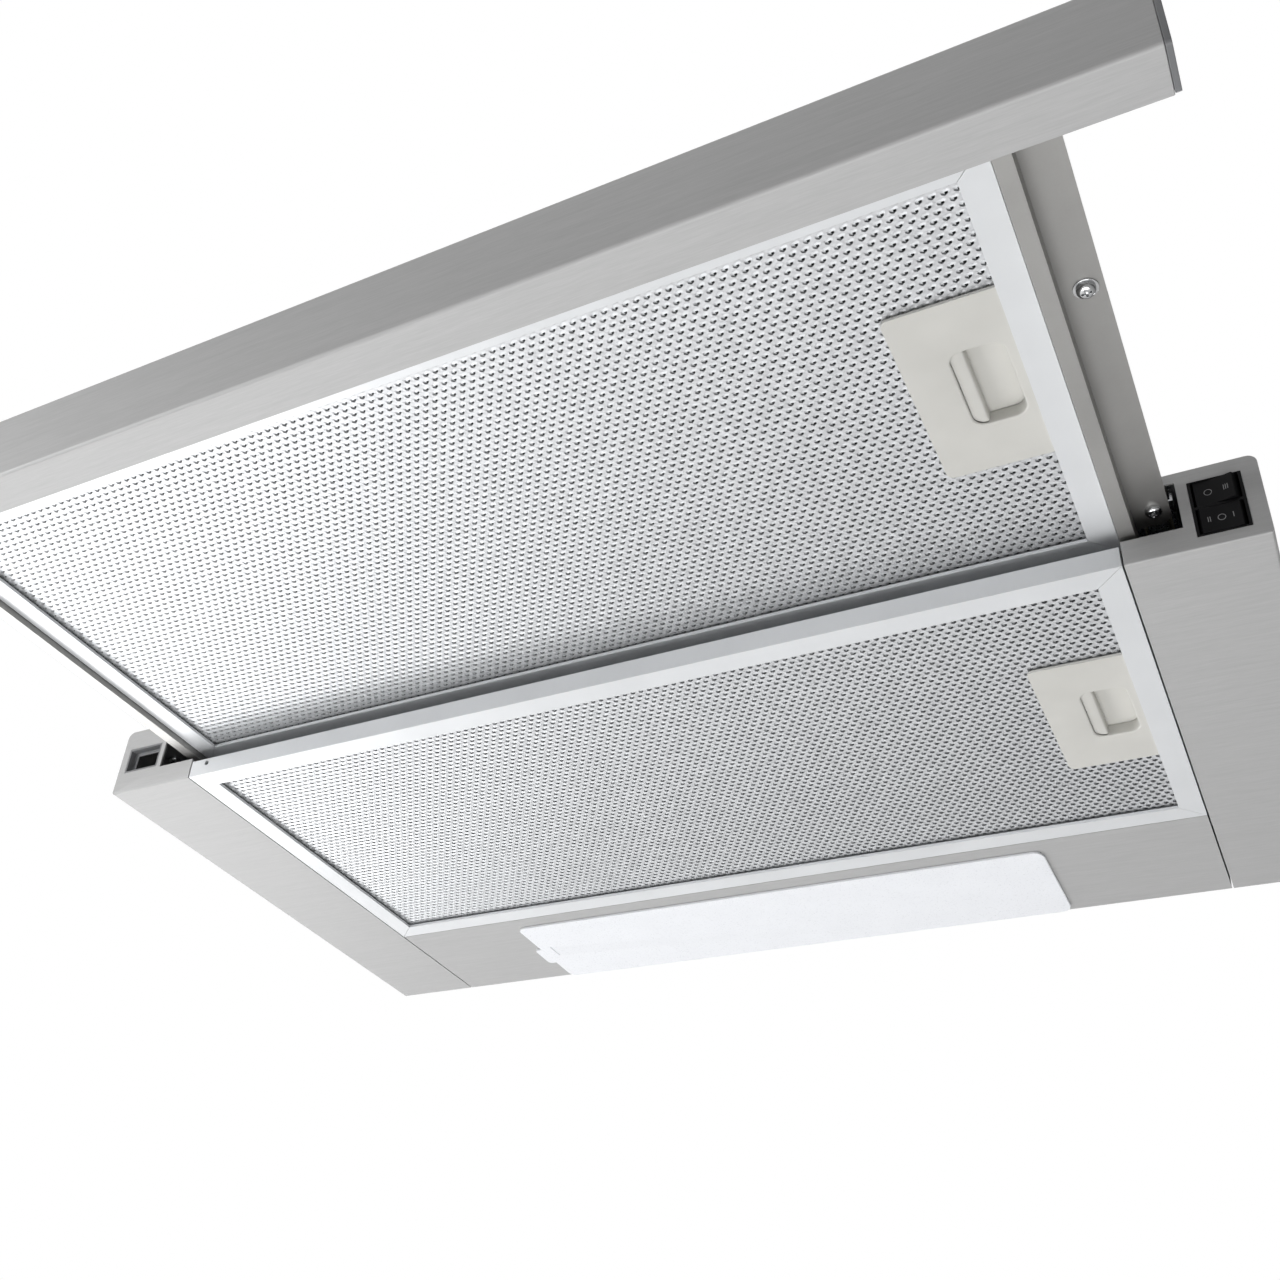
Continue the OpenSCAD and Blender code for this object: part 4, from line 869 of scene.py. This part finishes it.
# %% Mesh of both cassettes
for which in ("front", "rear"):
    cassette, latch, pack = which + "_filter_frame", which + "_latch_plate", which + "_filter_mesh"
    face = mesh_sheet(pack + "_face", cassette, latch, depth_mm=2.8, strand_mm=0.98, twist=28, wall_mm=0.12)
    finish_piece(face, pack, face_foil, (pack,))
    # The core and back sheets get the foil with painted shade, a little darker than the face.
    core = mesh_sheet(pack + "_core", cassette, latch, depth_mm=3.03, strand_mm=1.0, twist=-23,
                      lean_mm=0.45, shift=(1.1, 0.7))
    finish_piece(core, pack, shade_painted_core_foil)
    back = mesh_sheet(pack + "_back", cassette, latch, depth_mm=7.4, strand_mm=0.9, twist=-24, turn=-4)
    finish_piece(back, pack, shade_painted_core_foil)
    inner = packed_layers(pack + "_inner", cassette, latch, depth_mm=4.8)
    # The packed layers get the dark foil with painted shade, which shows as the dark crescents in the eyes.
    finish_piece(inner, pack, shade_painted_deep_foil)

# %% [markdown]
# ## Rolled cassette frames
#
# Each frame is four strips of aluminium, rolled to a U that holds the mesh, and cut at
# 45 degrees where they meet. A block per strip is enough to start with: its inner face is
# inset and pushed in to make the groove, two cuts make the mitres, and a bevel gives the
# rolled edges. The strips stay 0.2 mm apart, so that each corner shows its fine line.

# %% Strips of the frames
STRIP_W = 11.5
STRIP_T = 1.6
GROOVE = 10.2
MITRE_GAP = 0.09


def frame_strip(name, low, high, inward):
    """A U-shaped strip with a mitre at both ends; inward points to the mesh."""
    strip = new_block(name, low, high)
    inward = Vector(inward)
    mesh = edit(strip)
    pick(mesh.faces, lambda f: f.normal.dot(inward) > 0.9)
    bpy.ops.mesh.inset(thickness=STRIP_T * MM)
    bpy.ops.mesh.extrude_region_move(TRANSFORM_OT_translate={"value": -inward * GROOVE * MM})
    for end in (-1, 1):
        along = Vector((abs(inward.y), abs(inward.x), 0)) * end
        corner = [high[i] if (along - inward)[i] > 0 else low[i] for i in range(3)]
        out = inward + along
        bpy.ops.mesh.select_all(action="SELECT")
        bpy.ops.mesh.bisect(plane_co=at(*corner) - out.normalized() * MITRE_GAP * MM, plane_no=out,
                            use_fill=True, clear_outer=True)
    done()
    return strip


print("a strip is", STRIP_W, "mm wide and its groove", GROOVE, "mm deep")

# %% [markdown]
# ### A whole cassette frame
#
# The right strip gets the slot for the latch's tongue, and the left strip two lugs that
# hold the cassette in its bay. The photo shows a rivet hole in the rear cassette alone.

# %% Cassette frames
TONGUE_SLOT_HALF = 15.2
TONGUE_SLOT_Z = (6.2, 8.2)
RIVET_X, RIVET_Z, RIVET_R = -232.4, 7.1, 1.4
LUG_Y = 60
LUG_HALF = 9
LUG_Z = (3.2, 4.6)


def cassette_frame(node, latch, rivet):
    """Four mitred strips with the tongue's slot, the lugs at the left and a rivet hole."""
    low, high = box_mm(node)
    x, y0, y1, z0, z1 = high.x, low.y, high.y, low.z, high.z
    strips = [frame_strip("front_strip", (-x, y0, z0), (x, y0 + STRIP_W, z1), (0, 1, 0)),
              frame_strip("rear_strip", (-x, y1 - STRIP_W, z0), (x, y1, z1), (0, -1, 0)),
              frame_strip("left_strip", (-x, y0, z0), (-x + STRIP_W, y1, z1), (1, 0, 0)),
              frame_strip("right_strip", (x - STRIP_W, y0, z0), (x, y1, z1), (-1, 0, 0))]
    latch_low, latch_high = box_mm(latch)
    latch_y = (latch_low.y + latch_high.y) / 2
    cut(strips[3], new_block("tongue_slot", (x - 3, latch_y - TONGUE_SLOT_HALF, z0 + TONGUE_SLOT_Z[0]),
                             (x + 1, latch_y + TONGUE_SLOT_HALF, z0 + TONGUE_SLOT_Z[1])))
    if rivet:
        bpy.ops.object.select_all(action="DESELECT")
        rivet_hole = at(RIVET_X, y0, z0 + RIVET_Z)
        bpy.ops.mesh.primitive_cylinder_add(vertices=24, radius=RIVET_R * MM, depth=4 * MM,
                                            location=rivet_hole, rotation=(math.pi / 2, 0, 0))
        cut(strips[0], bpy.context.active_object)
    lug_middles = [(y0 + y1) / 2 + s * LUG_Y for s in (-1, 1)]
    lugs = [new_block("lug", (low.x, y - LUG_HALF, z0 + LUG_Z[0]), (-x + 1, y + LUG_HALF, z0 + LUG_Z[1]))
            for y in lug_middles]
    whole = join(strips + lugs, node + "_rolled")
    soften(whole, 0.45, 3)
    finish_piece(whole, node, None, (node,))


cassette_frame("rear_filter_frame", "rear_latch_plate", True)
cassette_frame("front_filter_frame", "front_latch_plate", False)

# %% [markdown]
# ## Screws with a crossed recess
#
# The screws are zinc or nickel plated, with a domed head and a crossed recess whose
# facets flash. One screw is modelled, with its head down: a cylinder with its rim rounded
# over, two tapered blocks that cut the cross out of the head, and a shaft above. Every
# other screw is a copy with its own mesh.

# %% One screw
HEAD_R = 3.4
SHAFT_R = 1.75
SHAFT = 2.0
SHAFT_SINK = 0.1
CROSS_MM = (4.8, 1.05, 2.8)
screws_low, screws_high = box_mm("panel_screws")
HEAD_H = screws_high.z - screws_low.z - SHAFT
bpy.ops.object.select_all(action="DESELECT")
bpy.ops.mesh.primitive_cylinder_add(vertices=40, radius=HEAD_R * MM, depth=HEAD_H * MM,
                                    location=(0, 0, -HEAD_H / 2 * MM))
screw = bpy.context.active_object
bpy.ops.object.transform_apply(location=True)
mesh = edit(screw, "EDGE")
pick(mesh.edges, lambda e: all(v.co.z < -HEAD_H * MM * 0.9 for v in e.verts))
bpy.ops.mesh.bevel(offset=HEAD_H * 0.75 * MM, segments=5, affect="EDGES", profile=0.5)
done()
for turn in (0, 90):
    bpy.ops.object.select_all(action="DESELECT")
    bpy.ops.mesh.primitive_cube_add(size=1, location=(0, 0, -HEAD_H * MM))
    tool = bpy.context.active_object
    tool.scale = Vector(CROSS_MM) * MM
    tool.rotation_euler.z = math.radians(turn)
    bpy.ops.object.transform_apply(location=True, rotation=True, scale=True)
    mesh = edit(tool)
    pick(mesh.faces, lambda f: f.normal.z > 0.9)
    taper = (0.55, 0.7, 1) if turn == 0 else (0.7, 0.55, 1)
    bpy.ops.transform.resize(value=taper, center_override=(0, 0, 0))
    done()
    cut(screw, tool)
soften(screw, 0.08, 2, 40)
bpy.ops.object.select_all(action="DESELECT")
bpy.ops.mesh.primitive_cylinder_add(vertices=24, radius=SHAFT_R * MM, depth=(SHAFT + SHAFT_SINK) * MM,
                                    location=(0, 0, (SHAFT - SHAFT_SINK) / 2 * MM))
shaft = bpy.context.active_object
bpy.ops.object.transform_apply(location=True)
soften(shaft, 0.2, 2)
screw = join([screw, shaft], "cross_screw")
print("screw head", HEAD_R * 2, "by", round(HEAD_H, 2), "mm,", len(screw.data.polygons), "faces")

# %% [markdown]
# ### All screws
#
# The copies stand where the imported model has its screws, each given as the place of the
# head's seat and the shaft's length. Only the shaft's far end is moved to make it
# longer. Heads that point up are turned over, and each screw is turned about its own
# axis by another angle, as a screwdriver leaves them.


# %% Copies of the screw
def place_screws(node, spots, upwards=False):
    """Copies the screw to spots, each with its shaft's length; the copies replace a node."""
    copies = []
    for x, y, z, length in spots:
        twin = copy_of(screw, "screw_copy")
        mesh = edit(twin, "VERT")
        pick(mesh.verts, lambda v: v.co.z > SHAFT / 2 * MM)
        bpy.ops.transform.translate(value=(0, 0, (length - SHAFT) * MM))
        done()
        twin.rotation_euler = (math.pi if upwards else 0, 0, math.radians((x * 7 + y * 3) % 90))
        twin.location = at(x, y, z)
        bpy.ops.object.transform_apply(location=True, rotation=True)
        copies.append(twin)
    finish_piece(join(copies, node + "_crossed"), node, None, (node,))


RUNNER_X = 258
PANEL_X = 290.5
PANEL_SEAT = 38.6
COLLAR_R = 65
COLLAR_SEAT = 178
COVER_X = 243
COVER_SEAT = 41.6
runner_spots = [(s * RUNNER_X, y, z, 5) for s in (-1, 1) for y, z in ((-124, 25.4), (2, 26.0))]
panel_spots = [(s * PANEL_X, y, PANEL_SEAT, 2) for s in (-1, 1) for y in (30, 150.5, 271)]
panel_spots += [(x, 296.5, PANEL_SEAT, 2) for x in (-200, 0, 200)]
collar_turns = [math.radians(a) for a in (45, 135, 225, 315)]
collar_spots = [(COLLAR_R * math.cos(a), 150 + COLLAR_R * math.sin(a), COLLAR_SEAT, 5) for a in collar_turns]
cover_spots = [(s * COVER_X, y, COVER_SEAT, 3) for s in (-1, 1) for y in (30, 252)]
place_screws("runner_screws", runner_spots)
place_screws("panel_screws", panel_spots)
place_screws("cover_screws", collar_spots + cover_spots, True)
bpy.data.objects.remove(screw)

# %% [markdown]
# ## Marks on the switch
#
# The rockers carry small printed signs: a ring for off and strokes for the steps. They
# are flat shapes in front of the rockers that a shrinkwrap presses on to the hollow
# faces, and a solidify gives them the thickness of printed ink, 0.06 mm.

# %% Printed marks
INK_START_Y = -3
INK_MM = 0.06
RING_R = 1.55
RING_W = 0.3
STROKE_MM = (0.32, 2.6)


def print_ring(x, z):
    """A ring, standing in front of a rocker."""
    bpy.ops.object.select_all(action="DESELECT")
    bpy.ops.mesh.primitive_circle_add(vertices=40, radius=RING_R * MM, fill_type="NGON",
                                      location=at(x, INK_START_Y, z), rotation=(math.pi / 2, 0, 0))
    ring = bpy.context.active_object
    bpy.ops.object.transform_apply(location=True, rotation=True)
    edit(ring)
    bpy.ops.mesh.select_all(action="SELECT")
    bpy.ops.mesh.inset(thickness=RING_W * MM)
    bpy.ops.mesh.delete(type="FACE")
    done()
    return ring


def print_stroke(x, z):
    """An upright stroke, standing in front of a rocker."""
    bpy.ops.object.select_all(action="DESELECT")
    bpy.ops.mesh.primitive_grid_add(x_subdivisions=1, y_subdivisions=6, size=1,
                                    location=at(x, INK_START_Y, z), rotation=(math.pi / 2, 0, 0))
    stroke = bpy.context.active_object
    stroke.scale = (STROKE_MM[0] * MM, STROKE_MM[1] * MM, 1)
    bpy.ops.object.transform_apply(location=True, rotation=True, scale=True)
    return stroke


def mark_rocker(node, shapes):
    """Presses shapes on to a rocker and gives them the thickness and finish of ink."""
    marks = join(shapes, node + "_marks")
    modify(marks, "SHRINKWRAP", wrap_method="PROJECT", target=rounded[node], use_project_y=True,
           use_project_x=False, use_project_z=False, use_positive_direction=True, offset=-0.02 * MM)
    modify(marks, "SOLIDIFY", thickness=INK_MM * MM, offset=0)
    finish_piece(marks, node, mark_ink)
    low = min((marks.matrix_world @ v.co).y for v in marks.data.vertices) / MM + FIX_Y
    print(node, "marks start at y", round(low, 2), "rocker at", round(box_mm(node)[0].y, 2))


SWITCH_X = 282.15
LOW_Z, HIGH_Z = 12.6, 26.7  # the middles of the lower and the upper rocker
mark_rocker("light_rocker", [print_ring(SWITCH_X - 3.0, HIGH_Z)]
            + [print_stroke(SWITCH_X + 3.7 + d, HIGH_Z) for d in (-0.75, 0, 0.75)])
mark_rocker("fan_rocker", [print_ring(SWITCH_X, LOW_Z)]
            + [print_stroke(SWITCH_X + d, LOW_Z) for d in (-5.0, -4.2, 4.3)])

# %% [markdown]
# ## Floor
#
# The hood hangs above a plain pale floor. The floor glows for rays from the camera, and
# for rays off a shiny surface, which find it brighter at the left than at the right.
# Matt surfaces get no light from that glow, so it doesn't wash out the shapes.

# %% Floor
FLOOR_Z = -1.65
bpy.ops.object.select_all(action="DESELECT")
bpy.ops.mesh.primitive_plane_add(size=14, location=(0, 0, FLOOR_Z))
floor = bpy.context.active_object
floor.name = "floor"
floor_paint, tree, shader, place = start_finish("pale_floor", {"Roughness": 0.7})
cloud = add_node(tree, "ShaderNodeTexNoise", {"Scale": 1 / (60 * MM)}, {"Vector": place}).outputs["Fac"]
tint = add_node(tree, "ShaderNodeMix", {"data_type": "RGBA", 6: linear("#B0B0B0"), 7: linear("#B8B8B8")},
                {0: cloud})
tree.links.new(tint.outputs[2], shader.inputs["Base Color"])
path = add_node(tree, "ShaderNodeLightPath")
floor_x = add_node(tree, "ShaderNodeSeparateXYZ", {}, {"Vector": place}).outputs["X"]
fall = add_node(tree, "ShaderNodeMapRange",
                {"From Min": -2.5, "From Max": 1, "To Min": 0.95, "To Max": 0.18},
                {"Value": floor_x}).outputs["Result"]
shine = add_node(tree, "ShaderNodeMath", {"operation": "MULTIPLY"},
                 {0: path.outputs["Is Glossy Ray"], 1: fall})
glow = add_node(tree, "ShaderNodeMath", {"operation": "MULTIPLY_ADD", 1: 0.75},
                {0: path.outputs["Is Camera Ray"], 2: shine.outputs[0]})
shader.inputs["Emission Color"].default_value = (1, 1, 1, 1)
tree.links.new(glow.outputs[0], shader.inputs["Emission Strength"])
floor.data.materials.append(floor_paint)
print("made", floor.name, "at", FLOOR_Z, "m")

# %% [markdown]
# ## Lights
#
# Most light comes from below and from the left, as in the photo, where the undersides are
# bright and the front faces are darker. Every lamp is large, because a small one gives
# hard shadows. One above and one behind are for views of the other sides.


# %% Lights
def soft_light(name, place, target, size, power):
    """A square soft box that looks at a target; power in watts."""
    data = bpy.data.lights.new(name, "AREA")
    data.shape = "SQUARE"
    data.size = size
    data.energy = power
    lamp = bpy.data.objects.new(name, data)
    bpy.context.scene.collection.objects.link(lamp)
    lamp.location = place
    lamp.rotation_euler = (Vector(target) - Vector(place)).to_track_quat("-Z", "Y").to_euler()


soft_light("key_low_left", (-1.5, 0.55, -1.5), (0, 0, 0), 1.3, 31)
soft_light("front_left", (-0.75, -0.9, -0.05), (-0.2, -0.3, 0), 0.5, 6)
soft_light("fill_below", (0.15, -0.35, -1.5), (0.1, 0, 0), 1.1, 14)
soft_light("top", (0, -0.1, 1.9), (0, 0, 0.05), 1.6, 16)
soft_light("rear", (0.5, 1.7, 0.45), (0, 0.1, 0.08), 1.2, 16)
print("lights", [lamp.name for lamp in bpy.data.lights])

# %% [markdown]
# ## Backdrop
#
# The backdrop is white for the camera. Shiny surfaces reflect one that gets darker from
# left to right, and matt surfaces get a fainter light with the same slope.

# %% Backdrop
world = bpy.data.worlds.new("studio")
bpy.context.scene.world = world
world.use_nodes = True
tree = world.node_tree
path = add_node(tree, "ShaderNodeLightPath")
seen = add_node(tree, "ShaderNodeMath", {"operation": "MAXIMUM"},
                {0: path.outputs["Is Camera Ray"], 1: path.outputs["Is Transmission Ray"]})
way = add_node(tree, "ShaderNodeTexCoord").outputs["Generated"]
way_x = add_node(tree, "ShaderNodeSeparateXYZ", {}, {"Vector": way}).outputs["X"]
WAY_SPAN = {"From Min": -1, "From Max": 1}
matt = add_node(tree, "ShaderNodeMapRange", {**WAY_SPAN, "To Min": 0.5, "To Max": 0.08},
                {"Value": way_x}).outputs["Result"]
shiny = add_node(tree, "ShaderNodeMapRange", {**WAY_SPAN, "To Min": 0.95, "To Max": 0.12},
                 {"Value": way_x}).outputs["Result"]
slope = add_node(tree, "ShaderNodeMix", {"data_type": "FLOAT"},
                 {0: path.outputs["Is Glossy Ray"], 2: matt, 3: shiny})
level = add_node(tree, "ShaderNodeMix", {"data_type": "FLOAT", 3: 1.0},
                 {0: seen.outputs[0], 2: slope.outputs[0]})
background = tree.nodes["Background"]
background.inputs["Color"].default_value = (1, 1, 1, 1)
tree.links.new(level.outputs[0], background.inputs["Strength"])
bpy.context.scene.view_settings.view_transform = "Standard"
print("made the world", world.name)
